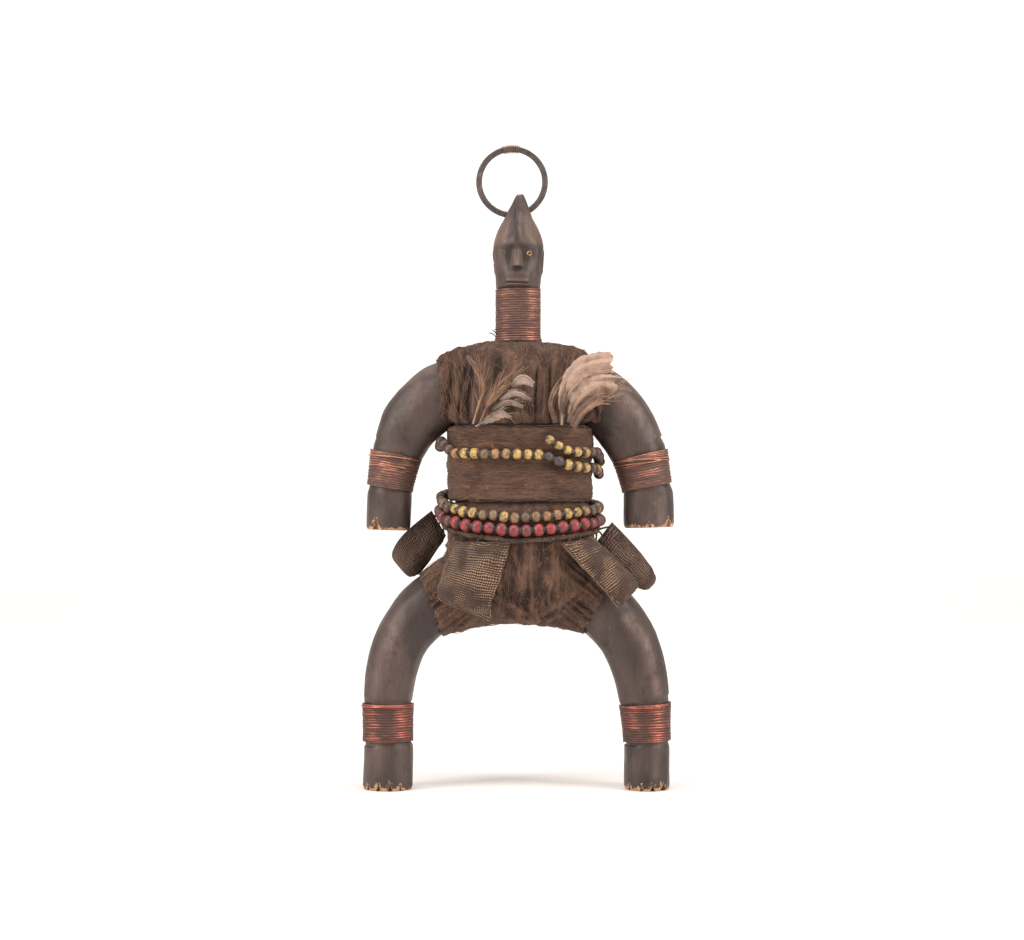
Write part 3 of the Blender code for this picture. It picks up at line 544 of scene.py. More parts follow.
def bare_wood_material():
    g = Graph("bare_wood")
    grain = g.noise(0.6, 5, 0.65, stretch=(1, 1, 14))
    dirt = g.noise(2.2, 5, 0.6)
    colour = g.ramp(grain, ((0.3, (0.36, 0.19, 0.10)), (0.72, (0.66, 0.44, 0.27))))
    colour = g.over(colour, (0.10, 0.055, 0.032), dirt, 0.46, 0.62)
    g.bump([(grain, 0.5, 0.3), (dirt, 0.3, 0.3)])
    return g.finish(colour, g.span(dirt, 0.3, 0.7, 0.6, 0.85))


def iron_material():
    g = Graph("old_iron")
    blotch = g.noise(3.5, 5, 0.6)
    fine = g.noise(0.7, 4)
    colour = g.ramp(blotch, ((0.35, (0.058, 0.045, 0.043)), (0.60, (0.102, 0.082, 0.078)),
                             (0.80, (0.26, 0.17, 0.125))))
    g.bump([(blotch, 0.3, 0.2), (fine, 0.35, 0.08)])
    return g.finish(colour, g.span(blotch, 0.3, 0.7, 0.38, 0.6), Metallic=0.55)


def copper_material(name, dull, bright):
    """Wound copper wire: tone 0 is dull and dirty, 1 is bright, from wear and from highlights painted where
    the lights catch it.
    """
    g = Graph(name)
    patch = g.noise(2.6, 5, 0.7, stretch=(2.4, 2.4, 0.35), twist=0.3)
    fine = g.noise(0.5, 4, stretch=(3, 3, 1))
    share = g.plus(g.tone(), g.span(patch, 0.35, 0.65, -0.30, 0.30))
    share = g.span(share, 0.15, 1.05)
    colour = g.mix(share, dull, bright)
    grime = g.span(g.noise(1.3, 5, 0.65), 0.50, 0.68)
    colour = g.mix(g.times(grime, 0.55), colour, (0.062, 0.034, 0.027))
    g.bump([(fine, 0.3, 0.08)])
    metal = g.span(share, 0.0, 0.9, 0.25, 0.85)
    return g.finish(colour, g.span(share, 0.0, 1.0, 0.60, 0.34), Metallic=metal)


def cloth_material(name, along=(1, 1, 8), crest=(0.155, 0.084, 0.056), rust=0.5):
    """Fibrous cloth stiff with dirt; the fold attribute is 0 in valleys and 1 on crests, and turns into
    painted shade in the valleys and painted light on the crests.
    """
    g = Graph(name)
    fold = g.tone("fold")
    strand = g.tone("strand")
    broad = g.noise(13, 4, 0.6)
    fibre = g.noise(0.75, 6, 0.7, stretch=along, twist=0.25)
    thread = g.noise(1.5, 4, 0.6, stretch=along)
    crumb = g.noise(1.0, 5, 0.7)
    ground = g.ramp(broad, ((0.34, (0.066, 0.035, 0.025)), (0.68, (0.122, 0.068, 0.047))))
    # Painted shade in the fold valleys, painted light on the crests
    colour = g.mix(g.span(fold, 0.04, 0.55), (0.030, 0.017, 0.013), ground)
    lift = g.plus(fold, g.span(thread, 0.3, 0.7, -0.4, 0.4))
    colour = g.mix(g.span(lift, 0.60, 1.15, 0.0, 0.8), colour, crest)
    colour = g.over(colour, (0.215, 0.115, 0.072), fibre, 0.54, 0.70, 0.55)
    colour = g.over(colour, (0.018, 0.010, 0.007), fibre, 0.47, 0.30, 0.65)
    flecks = g.times(g.span(g.noise(6.5, 4, 0.65, twist=0.8), 0.58, 0.68), g.span(crumb, 0.46, 0.58))
    colour = g.mix(g.times(flecks, rust), colour, (0.34, 0.15, 0.065))
    colour = g.mix(g.times(strand, g.span(crumb, 0.35, 0.65, 0.3, 0.9)), colour, (0.235, 0.128, 0.082))
    g.bump([(thread, 0.8, 0.9), (fibre, 0.9, 0.6), (crumb, 0.6, 0.4)])
    return g.finish(colour, g.span(crumb, 0.3, 0.7, 0.80, 0.98), Specular_IOR_Level=0.22, Sheen_Weight=0.08)


def bead_material(name, light, dark, worn):
    """Worn beads: tone picks the colour of each bead, grime darkens its ends, for dirt and painted shade where
    the beads meet.
    """
    g = Graph(name)
    patch = g.noise(2.0, 5, 0.65, twist=0.5)
    streak = g.noise(1.1, 4, 0.6, stretch=(1, 1, 3))
    pits = g.noise(0.55, 4, 0.7)
    colour = g.ramp(g.tone(), light)
    colour = g.over(colour, dark, patch, 0.47, 0.60, 0.80)
    colour = g.over(colour, dark, streak, 0.51, 0.62, 0.7)
    colour = g.over(colour, worn, pits, 0.60, 0.70, 0.5)
    # Darker towards the bead's ends: dirt and painted shade between beads
    edge = g.plus(g.tone("grime"), g.span(patch, 0.3, 0.7, -0.25, 0.25))
    colour = g.over(colour, (0.046, 0.027, 0.020), edge, 0.22, 0.66)
    g.bump([(patch, 0.35, 0.3), (pits, 0.4, 0.15)])
    return g.finish(colour, g.span(patch, 0.3, 0.7, 0.30, 0.55), Specular_IOR_Level=0.5, Coat_Weight=0.12)


def woven_material(name, thread, gap, light=0.5, row=1.15, column=1.0):
    """Coarse weave from the piece's own UV, in millimetres across and down; its low points are painted dark as
    shade between the threads and its raised stitches tan in patches, as wear and painted highlights.
    """
    g = Graph(name)
    uv = g.add("UVMap", uv_map="weave").outputs[0]
    split = g.add("SeparateXYZ", {"Vector": uv})
    shift = g.span(g.noise(9.0, 2), 0.3, 0.7, -0.9, 0.9)
    across = g.plus(split.outputs[0], g.times(shift, 0.8))
    down = g.plus(split.outputs[1], g.times(shift, 0.6))
    warp = g.math("SINE", g.times(across, TAU / column))
    weft = g.math("SINE", g.times(down, TAU / row))
    height = g.plus(g.times(warp, 0.38), g.times(weft, 0.62))
    height = g.span(height, -1.0, 1.0)
    patch = g.noise(9, 4, 0.6)
    fuzz = g.noise(0.7, 5, 0.7)
    ground = g.ramp(patch, ((0.34, (0.066, 0.038, 0.028)), (0.68, (0.118, 0.070, 0.050))))
    where = g.span(g.plus(patch, g.tone()), 0.56, 1.08)
    worn_and_highlit = g.times(g.span(height, 0.55, 0.90), where)
    # Painted shade in the low points between threads, and tan on the raised stitches as wear and painted
    # highlights
    colour = g.mix(g.span(height, 0.48, 0.12), ground, gap)
    colour = g.mix(g.times(worn_and_highlit, light), colour, thread)
    colour = g.over(colour, (0.24, 0.145, 0.095), fuzz, 0.56, 0.72, 0.35)
    g.bump([(height, 0.9, 0.6), (fuzz, 0.5, 0.3)])
    return g.finish(colour, g.span(fuzz, 0.3, 0.7, 0.78, 0.95), Specular_IOR_Level=0.22, Sheen_Weight=0.08)


def feather_material(name, pale, brown, grey):
    g = Graph(name)
    patch = g.noise(5.5, 4, 0.6)
    fine = g.noise(0.5, 5, 0.7, stretch=(1, 1, 5))
    colour = g.mix(g.span(g.plus(g.tone(), g.span(patch, 0.3, 0.7, -0.3, 0.3)), 0.2, 0.8), brown, pale)
    colour = g.over(colour, grey, patch, 0.55, 0.70, 0.6)
    colour = g.mix(g.times(g.span(fine, 0.5, 0.35), 0.5), colour, (0.05, 0.03, 0.02))
    g.bump([(fine, 0.5, 0.15)])
    return g.finish(colour, g.span(fine, 0.3, 0.7, 0.5, 0.8), Sheen_Weight=0.2)


def brass_material():
    g = Graph("worn_brass")
    patch = g.noise(1.2, 4, 0.6)
    polished = g.ramp(patch, ((0.3, (0.36, 0.20, 0.085)), (0.7, (0.60, 0.42, 0.22))))
    colour = g.mix(g.tone(), (0.05, 0.034, 0.026), polished)
    g.bump([(patch, 0.3, 0.1)])
    return g.finish(colour, g.span(patch, 0.3, 0.7, 0.25, 0.42), Metallic=0.85)


# The wooden figure

def torso_at(height):
    return [np.interp(height, TORSO[:, 0], TORSO[:, k]) for k in range(1, 5)]


def outline(width, front, back, squareness, turn):
    s, c = np.sin(turn), np.cos(turn)
    depth = np.where(c > 0, front, back)
    power = 2 / squareness
    return width * np.sign(s) * np.abs(s) ** power, -depth * np.sign(c) * np.abs(c) ** power


def torso_rings(heights, turns, grow=0.0, lift=0.0):
    """Points (rings, turns, 3) round the torso, grow outside it and lift above it."""
    heights = np.asarray(heights, float)
    middle, width, depth, squareness = (np.asarray(v)[:, None] for v in torso_at(heights))
    x, y = outline(width + grow, depth + grow, depth + grow, squareness, np.asarray(turns)[None, :])
    z = np.broadcast_to((heights + lift)[:, None], x.shape)
    return np.stack([middle + x, y, z], axis=-1)


def limb_frame(stations, places):
    """Middle, sideways and lengthwise directions, half width and half depth of a limb at its places."""
    rows = spline(stations, places)
    last = len(stations) - 1
    ahead = spline(stations, np.minimum(places + 0.02, last))
    behind = spline(stations, np.maximum(places - 0.02, 0))
    along = np.stack([ahead[:, 0] - behind[:, 0], 0 * places, ahead[:, 1] - behind[:, 1]], axis=-1)
    along = unit(along)
    across = np.stack([along[:, 2], 0 * places, -along[:, 0]], axis=-1)
    middle = np.stack([rows[:, 0], 0 * places, rows[:, 1]], axis=-1)
    return middle, across, along, rows[:, 2], rows[:, 3]


def limb_rings(stations, places, turns, grow=0.0):
    middle, across, _, width, depth = limb_frame(stations, places)
    turns = np.asarray(turns)[None, :, None]
    grow = np.reshape(np.broadcast_to(grow, (len(places),)), (-1, 1, 1))
    out = across[:, None] * (width[:, None, None] + grow) * np.cos(turns)
    deep = np.array([0.0, 1.0, 0.0]) * (depth[:, None, None] + grow) * np.sin(turns)
    return middle[:, None] + out + deep


def even_places(stations, step):
    """Places along the stations that are about step millimetres apart."""
    fine = np.linspace(0.0, len(stations) - 1, 1200)
    rows = spline(stations, fine)
    so_far = np.concatenate([[0], np.cumsum(np.hypot(*np.diff(rows[:, :2], axis=0).T))])
    return np.interp(np.linspace(0, so_far[-1], max(2, round(so_far[-1] / step))), so_far, fine)


def carved_limb(name, stations, seed):
    """A limb with long soft tool cuts; its last rings are rounded off a little."""
    sides = 80
    turns = circle(sides)
    places = even_places(stations, 1.1)
    rings = limb_rings(stations, places, turns)
    middle = limb_frame(stations, places)[0]
    radial = rings - middle[:, None]
    size = np.linalg.norm(radial, axis=-1, keepdims=True)
    flat = rings.reshape(-1, 3)
    phase = 0.30 * noise3(np.column_stack([places * 0.9, 0 * places, 0 * places]), seed)[:, None]
    part = TAU / 7
    off = (turns[None, :] + phase + 0.55) % part - part / 2
    cut = 1 - math.cos(part / 2) / np.cos(off)
    cut = -0.28 * (cut - cut.min())
    low = 0.34 * layers(flat, (13.0, 13.0, 20.0), seed, 2).reshape(cut.shape)
    fine = 0.07 * layers(flat, (2.4, 2.4, 7.0), seed + 3, 2).reshape(cut.shape)
    ends = np.minimum(places, len(stations) - 1 - places)
    tip = smooth(ends, 0.09, 0.0)[:, None]
    change = cut * size[..., 0] + low + fine - 0.8 * tip
    rings = middle[:, None] + radial * (1 + change[..., None] / size)
    return loft(name, rings)


def face_relief(x, height):
    """How far the carving of the face stands out, in millimetres."""
    u = np.abs(x - FACE_X)
    down = np.clip((301.8 - height) / (301.8 - NOSE_FOOT), 0.0, 1.0)
    inside = smooth(height, NOSE_FOOT - 0.1, NOSE_FOOT + 0.55) * smooth(height, 304.0, 299.5)
    half = 1.3 + 2.1 * down ** 1.2
    ridge = smooth(u, half + 0.45, 0.35 * half)
    rise = (0.4 + 3.3 * down ** 1.1) * ridge * inside
    hollow = smooth(height, 285.5, 294.5) * smooth(height, BROW + 1.6, BROW - 2.2) * smooth(u, 12.2, 8.0)
    rise = rise - (1.7 - 0.7 * smooth(u, 2.0, 6.5)) * hollow
    deep = bell(height, 296.0, 4.2) * bell(u, 4.4, 1.5)
    rise = rise - 0.55 * deep
    crest_half = 4.4 - 3.2 * np.clip((height - 301.0) / 22.0, 0.0, 1.0)
    crest = smooth(u, crest_half, 0.25 * crest_half) * smooth(height, 299.5, 304.0)
    rise = rise + 0.9 * crest
    plane = np.clip((u - crest_half) / 6.0, 0.0, 1.0)
    rise = rise + 0.5 * np.sin(math.pi * plane) * smooth(height, 301.0, 306.0) * smooth(height, 320.0, 314.0)
    muzzle = smooth(height, 277.7, 279.4) * smooth(height, 288.6, 283.6)
    rise = rise + 1.15 * muzzle * smooth(u, 9.4, 5.2)
    tilt = 0.035 * (x - FACE_X)
    slit = np.exp(-((height - MOUTH_HEIGHT + tilt) / 0.36) ** 2) * smooth(u, 7.0, 5.9)
    rise = rise - 0.7 * slit
    upper = np.exp(-((height - MOUTH_HEIGHT + tilt - 1.15) / 0.6) ** 2) * smooth(u, 6.8, 4.6)
    lower = np.exp(-((height - MOUTH_HEIGHT + tilt + 1.05) / 0.55) ** 2) * smooth(u, 6.6, 4.4)
    rise = rise + 0.35 * upper + 0.45 * lower
    return rise - 0.25 * bell(height, 277.7, 0.4)


def carved_head():
    heights = np.arange(277.8, 330.01, 0.36)
    spin = np.linspace(-math.pi, math.pi, 177)[:-1]
    turns = spin - 0.45 * np.sin(spin)
    columns = [np.interp(heights, HEAD[:, 0], HEAD[:, k]) for k in range(1, 5)]
    kernel = np.hanning(11)
    kernel /= kernel.sum()
    columns = [np.convolve(np.pad(c, 5, mode="reflect", reflect_type="odd"), kernel, "valid")
               for c in columns]
    middle, width, front, back = (c[:, None] for c in columns)
    x, y = outline(width, front, back, 2.2, turns[None, :])
    h = np.broadcast_to(heights[:, None], x.shape)
    y = y - face_relief(middle + x, h) * smooth(np.cos(turns), 0.0, 0.4)
    points = np.stack([middle + x, y, h], axis=-1)
    for side in (-1, 1):
        ear_at = np.array([side * 13.6 - 0.8, 0.6, 292.2])
        off = (points - ear_at) / np.array([9.0, 3.0, 6.2])
        reach = np.linalg.norm(off[..., 1:], axis=-1)
        near = np.abs(off[..., 0]) < 1
        shell = bell(reach, 0.85, 0.26) * near
        bowl = smooth(reach, 0.75, 0.25) * near
        points[..., 0] += side * (0.55 * shell - 0.8 * bowl)
        line = points[..., 1] + 3.4 + 0.30 * (h - (296.0 if side < 0 else 291.0))
        reach = np.abs(h - (296.2 if side < 0 else 290.6))
        slit = np.exp(-(line / 0.5) ** 2) * smooth(reach, 5.2, 3.6) * (side * (points[..., 0] + 0.8) > 8)
        points[..., 0] -= side * 1.4 * slit
    flat = points.reshape(-1, 3)
    planes = 0.17 * layers(flat, (6.0, 6.0, 9.0), 31, 2) + 0.05 * layers(flat, (1.6, 1.6, 4.0), 32, 2)
    centre = np.stack([np.broadcast_to(middle, x.shape), 0 * x, h], axis=-1).reshape(-1, 3)
    out = unit(flat - centre)
    flat = flat + out * planes[:, None]
    return loft("head", flat.reshape(points.shape), smooth_angle=60)


def notch_cutters(name, station, shares, sizes):
    """Chip-cut notches up from the end of a hand or foot."""
    x, end, width, depth = station
    heap = Heap()
    for share, size in zip(shares, sizes):
        middle = x + share * width
        edge = -depth * math.sqrt(1 - share * share)
        half, tall, deep = 3.1 * size, 6.0 * size, 6.5 * size
        corners = [
            (middle - half, edge - 2.5, end - 1.2), (middle + half, edge - 2.5, end - 1.2),
            (middle, edge + deep, end - 1.2), (middle + 0.15 * half, edge - 2.5, end + tall + 1.2),
        ]
        heap.add(corners, [(0, 2, 1), (0, 1, 3), (1, 2, 3), (2, 0, 3)])
    made = heap.object(name)
    work = bmesh.new()
    work.from_mesh(made.data)
    bmesh.ops.recalc_face_normals(work, faces=work.faces)
    work.to_mesh(made.data)
    work.free()
    return made


def make_wood():
    wood, bare = wood_material(), bare_wood_material()
    arms = carved_limb("arms", ARMS, 11)
    legs = carved_limb("legs", LEGS, 17)
    for limb, ends in ((arms, ("left_hand", "right_hand")), (legs, ("left_foot", "right_foot"))):
        limb.data.materials.append(wood)
        for end in ends:
            cutter = notch_cutters(end, *NOTCHES[end])
            cutter.data.materials.append(bare)
            boolean(limb, cutter, "DIFFERENCE", transfer=True)
    head = carved_head()
    head.data.materials.append(wood)
    radius = (RING_DIAMETER - RING_WIRE) / 2
    ring = loft("hole", ring_points(radius, RING_WIRE / 2 + GAP, 64, 16), closed=True)
    ring.data.materials.append(wood)
    boolean(head, ring, "DIFFERENCE", transfer=True)
    heights = np.concatenate([np.arange(97.0, 246.5, 2.5), [246.0, 282.0]])
    torso = loft("torso", torso_rings(heights, circle(64)))
    torso.data.materials.append(wood)
    body = join("carved_wooden_figure", [torso, arms, legs, head])
    body.data.set_sharp_from_angle(angle=math.radians(48))
    points = points_of(body)
    paint(body, "bare", bare_wood(points))
    paint(body, "worn", wood_wear_and_painted_light(points))
    return finish(body, "wood", "wooden_figure")


def bare_wood(points):
    """1 where fresh wood shows: at the chipped ends of hands and feet, and at the tip of the crest."""
    x, y, z = points.T
    front = smooth(y, 3.0, -3.0)
    bare = 0.75 * smooth(z, 328.0, 329.8) * smooth(x, 0.8, -0.8)
    for station, shares, sizes in NOTCHES.values():
        middle, end, width, _ = station
        here = (np.abs(x - middle) < width + 3) * (z < end + 14) * (z > end - 3) * front
        bare = bare + 0.72 * smooth(z, end + 2.6, end + 0.2) * here
        for share, size in zip(shares, sizes):
            at = middle + share * width
            edge = 3.1 * size * np.clip(1 - (z - end) / (6.0 * size), 0.0, 1.0)
            off = np.abs(x - at) - edge
            bare = bare + 0.42 * smooth(off, 1.6, 0.0) * smooth(z, end + 7.0 * size, end + 5.0 * size) * here
    return np.clip(bare, 0, 1) * (0.85 + 0.25 * layers(points, 3.0, 5, 2))


def along_line(points, line, width):
    """1 on a line of (x, height) in front of the figure, and less beside it."""
    at = points[:, [0, 2]]
    near = np.full(len(points), 1e9)
    for start, end in zip(line, line[1:]):
        start, step = np.array(start, float), np.array(end, float) - start
        share = np.clip(((at - start) @ step) / (step @ step), 0, 1)[:, None]
        near = np.minimum(near, np.linalg.norm(at - start - share * step, axis=1))
    return np.exp(-(near / width) ** 2) * smooth(points[:, 1], 2.0, -4.0)


def wood_wear_and_painted_light(points):
    """1 where the dark surface is rubbed pale and where highlights are painted, 0 where it is darkest and
    where shade is painted.
    """
    x, y, z = points.T
    u = np.abs(x - FACE_X)
    front = smooth(y, -3.0, -8.0)
    worn = 0.17 + 0.34 * layers(points, (14.0, 14.0, 30.0), 9, 3)
    # The head paler than the body, from wear and partly painted light, with the planes beside the crest paler
    # still
    head = smooth(z, 274.0, 280.0)
    forehead = smooth(z, 299.0, 304.0) * smooth(z, 326.0, 312.0) * smooth(u, 2.8, 5.5)
    worn = worn * (1 - 0.5 * head) + head * (0.20 + 0.52 * forehead)
    # Painted highlights on the nose ridge, the lips and the ridge of the crest
    nose = smooth(u, 3.6, 1.6) * smooth(z, NOSE_FOOT, NOSE_FOOT + 1.0) * smooth(z, 300.0, 297.0)
    lips = smooth(u, 7.0, 5.0) * smooth(z, 277.8, 278.6) * smooth(z, 283.4, 282.0)
    strip = bell(x, -0.2, 0.9) * smooth(z, 304.0, 312.0) * smooth(z, 321.0, 318.0)
    worn = worn + head * front * (0.42 * nose + 0.25 * lips + 0.5 * strip)
    # Painted shade in the eye hollows, under the nose, in the mouth slit, under the lower lip and on the
    # forehead facet left of the crest
    dark = 0.55 * bell(z, 296.6, 4.6) * bell(u, 5.0, 2.6)
    dark = dark + 0.7 * np.exp(-((z - NOSE_FOOT + 1.2) / 1.1) ** 2) * smooth(u, 5.6, 3.8)
    dark = dark + 0.55 * np.exp(-((z - MOUTH_HEIGHT + 0.035 * (x - FACE_X)) / 0.5) ** 2) * smooth(u, 7.4, 6.2)
    dark = dark + 0.35 * bell(z, 278.0, 0.5)
    dark = dark + 0.34 * bell(x, -2.4, 2.0) * smooth(z, 302.0, 306.0)
    worn = worn - dark * front * head
    # Painted light on the chin, lifting it out of its shade
    worn = worn + 0.60 * front * smooth(u, 8.0, 4.0) * smooth(z, 272.0, 274.0) * smooth(z, 278.0, 277.0)
    # Painted highlights down the outer sides of the arms and legs
    for line, width, strength in PAINTED_HIGHLIGHT_LINES:
        worn = worn + strength * along_line(points, line, width) * (0.75 + 0.5 * noise3(points / 5.0, 12))
    return np.clip(worn, 0, 1)


def join(name, parts):
    with bpy.context.temp_override(active_object=parts[0], object=parts[0], selected_objects=parts,
                                   selected_editable_objects=parts):
        bpy.ops.object.join()
    parts[0].name = name
    parts[0].data.name = name
    return parts[0]


def finish(piece, slot, *nodes, material=None):
    if material:
        piece.data.materials.clear()
        piece.data.materials.append(material)
    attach(piece, "root")
    if nodes:
        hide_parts(*nodes)
    return piece


# Ring, eyes and wire

def ring_points(radius, tube, steps, sides, profile=None):
    angles = circle(steps)
    turns = circle(sides)
    reach = tube if profile is None else profile(turns)
    out = radius + reach * np.cos(turns)[None, :]
    x = RING_MIDDLE[0] + out * np.sin(angles)[:, None]
    y = RING_MIDDLE[1] + np.broadcast_to(reach * np.sin(turns), x.shape)
    z = RING_MIDDLE[2] + out * np.cos(angles)[:, None]
    return np.stack([x, y, z], axis=-1)


def make_ring():
    """Iron wire bent to a ring of two close turns, and fine wire wound round it at its top."""
    iron = iron_material()
    half = RING_WIRE / 2

    def profile(turns):
        return half * (1 - 0.30 * np.exp(-((np.abs(np.sin(turns)) - 1) / 0.045) ** 2))

    radius = (RING_DIAMETER - RING_WIRE) / 2
    rings = ring_points(radius, half, 160, 32, profile)
    flat = rings.reshape(-1, 3)
    wobble = 0.10 * layers(flat, 7.0, 3, 3)
    flat = flat + unit(flat - np.array(RING_MIDDLE)) * wobble[:, None] * 0.6
    ring = make("iron_ring", flat, grid_faces(160, 32, closed=True))
    finish(ring, "iron", "hanging_ring", material=iron)
    heap = Heap()
    turns = 9
    steps = turns * 20
    share = np.linspace(0, 1, steps)
    angle = np.radians(-16 + 28 * share)
    spin = share * turns * TAU
    reach = half + GAP + 0.22
    out = radius + reach * np.cos(spin)
    path = np.column_stack([
        RING_MIDDLE[0] + out * np.sin(angle), RING_MIDDLE[1] + reach * np.sin(spin),
        RING_MIDDLE[2] + out * np.cos(angle),
    ])
    heap.tube(path, 0.27, 7, tone=0.35 + 0.2 * noise3(path / 3.0, 5))
    binding = heap.object("ring_wire_binding")
    finish(binding, "copper", "ring_binding", material=MATERIALS["copper"])


def eye_frame(offset):
    x = FACE_X + offset
    middle, width, front = -0.8, 13.9, 13.2
    y = -front * (1 - abs((x - middle) / width) ** 2.2) ** (1 / 2.2)
    y -= float(face_relief(np.array([x]), np.array([EYE_HEIGHT]))[0])
    turn = math.radians(math.copysign(24.0, offset))
    outward = np.array([math.sin(turn), -math.cos(turn), 0.0])
    across = np.array([math.cos(turn), math.sin(turn), 0.0])
    return np.array([x, y, EYE_HEIGHT]), outward, across


def make_eyes():
    brass = brass_material()
    for name, offset, bright, stand in (("left_eye", EYES[0], 0.12, 0.0), ("right_eye", EYES[1], 0.85, 0.30)):
        middle, outward, across = eye_frame(offset)
        up = np.array([0.0, 0.0, 1.0])
        heap = Heap()
        profile = [(EYE_HOLE / 2, -1.4), (EYE_DIAMETER / 2, -1.4), (EYE_DIAMETER / 2, 0.0), (1.32, 0.38),
                   (1.12, 0.5), (0.86, 0.36), (0.72, -0.1)]
        turns = circle(28)
        rings = [middle + outward * (out + stand - 0.25) + radius * (
            np.outer(np.cos(turns), across) + np.outer(np.sin(turns), up)) for radius, out in profile]
        rings = np.array(rings)
        heap.add(rings, grid_faces(len(profile), 28, closed=True), bright)
        pit = np.array([middle + outward * (stand - 0.7) + (EYE_HOLE / 2 + 0.05) * (
            np.outer(np.cos(turns), across) + np.outer(np.sin(turns), up)),
            np.repeat([middle + outward * (stand - 0.75)], 28, axis=0)])
        heap.add(pit, grid_faces(2, 28, caps=False), 0.0)
        eye = heap.object(name + "_bead", smooth_angle=50)
        finish(eye, "brass", name, material=brass)


def winding(heap, ring_at, turns, wire, seed, bright, steps=44, loose=0.12):
    """A wire wound round a limb or the neck.

    ring_at gives the points at a share upward, an angle and a radius to add; bright gives their tone.
    """
    share = np.linspace(0, 1, turns * steps)
    spin = share * turns * TAU

    def uneven(round_size, up_size, number):
        at = [np.cos(spin) * round_size, np.sin(spin) * round_size, share * turns * up_size]
        return noise3(np.column_stack(at), number)

    wave = loose * uneven(1.6, 0.9, seed)
    lift = 0.18 * np.abs(uneven(2.3, 1.7, seed + 1))
    path = ring_at(np.clip(share + wave / turns * 1.6, 0.0, 1.0), spin, GAP + wire / 2 + lift)
    heap.tube(path, wire / 2, 6, tone=bright(path, share))


def dark_gap_sleeve(heap, ring_at, wire, seed):
    """A dull dark sleeve that fills between the turns, nearly as high as the wire."""
    spin = circle(60)
    rings = []
    for share in np.linspace(0.0, 1.0, 48):
        out = np.full(60, GAP + wire * 0.62)
        rings.append(ring_at(np.full(60, share), spin, out))
    rings = np.array(rings)
    flat = rings.reshape(-1, 3)
    middle = rings.mean(axis=1, keepdims=True)
    radial = rings - middle
    rough = 0.16 * layers(flat, 2.2, seed, 3).reshape(rings.shape[:2])
    rings = middle + radial * (1 + rough / np.linalg.norm(radial, axis=-1))[..., None]
    inner = np.array([ring_at(np.full(60, share), spin, np.full(60, GAP)) for share in (1.0, 0.0)])
    heap.add(np.concatenate([rings, inner]), grid_faces(50, 60, closed=True), 0.0)


def limb_wire(name, node, stations, span, turns, seed, bright, loose, extra, material="copper"):
    """Wire wound round a limb between two places; extra are strands that cross the turns."""
    heap = Heap()

    def ring_at(share, spin, out):
        places = span[0] + (span[1] - span[0]) * share
        middle, across, _, width, depth = limb_frame(stations, places)
        grow = np.broadcast_to(out, places.shape)
        return (middle + across * ((width + grow) * np.cos(spin))[:, None]
                + np.array([0.0, 1.0, 0.0]) * ((depth + grow) * np.sin(spin))[:, None])

    winding(heap, ring_at, turns, LIMB_WIRE, seed, bright, loose=loose)
    dark_gap_sleeve(heap, ring_at, LIMB_WIRE, seed + 5)
    for start, end, first, last, out in extra:
        share = np.linspace(0, 1, 60)
        spin = np.radians(first + (last - first) * share)
        rise = start + (end - start) * smooth(share, 0, 1)
        path = ring_at(rise, spin, GAP + LIMB_WIRE + 0.30 + out * np.sin(math.pi * share))
        heap.tube(path, 0.36, 6, tone=0.85)
    return finish(heap.object(name), "copper", node, material=MATERIALS[material])


def painted_wire_highlights(*columns):
    """Painted highlights on the front of the wire where the side lights catch it, varied at random: columns
    are (x, half width, share low, share high, strength).
    """

    def bright(path, share):
        total = np.full(len(path), 0.12)
        front = smooth(path[:, 1], 3.0, -3.0)
        for x, half, low, high, strength in columns:
            near = bell(path[:, 0], x, half)
            within = smooth(share, low - 0.06, low + 0.04) * smooth(share, high + 0.06, high - 0.04)
            total += strength * near * within * front
        turn = noise3(np.column_stack([share * 60, 0 * share, 0 * share]), 22)
        return np.clip(total * (0.75 + 0.5 * turn) + 0.20 * noise3(path / 2.2, 21), 0, 1)

    return bright


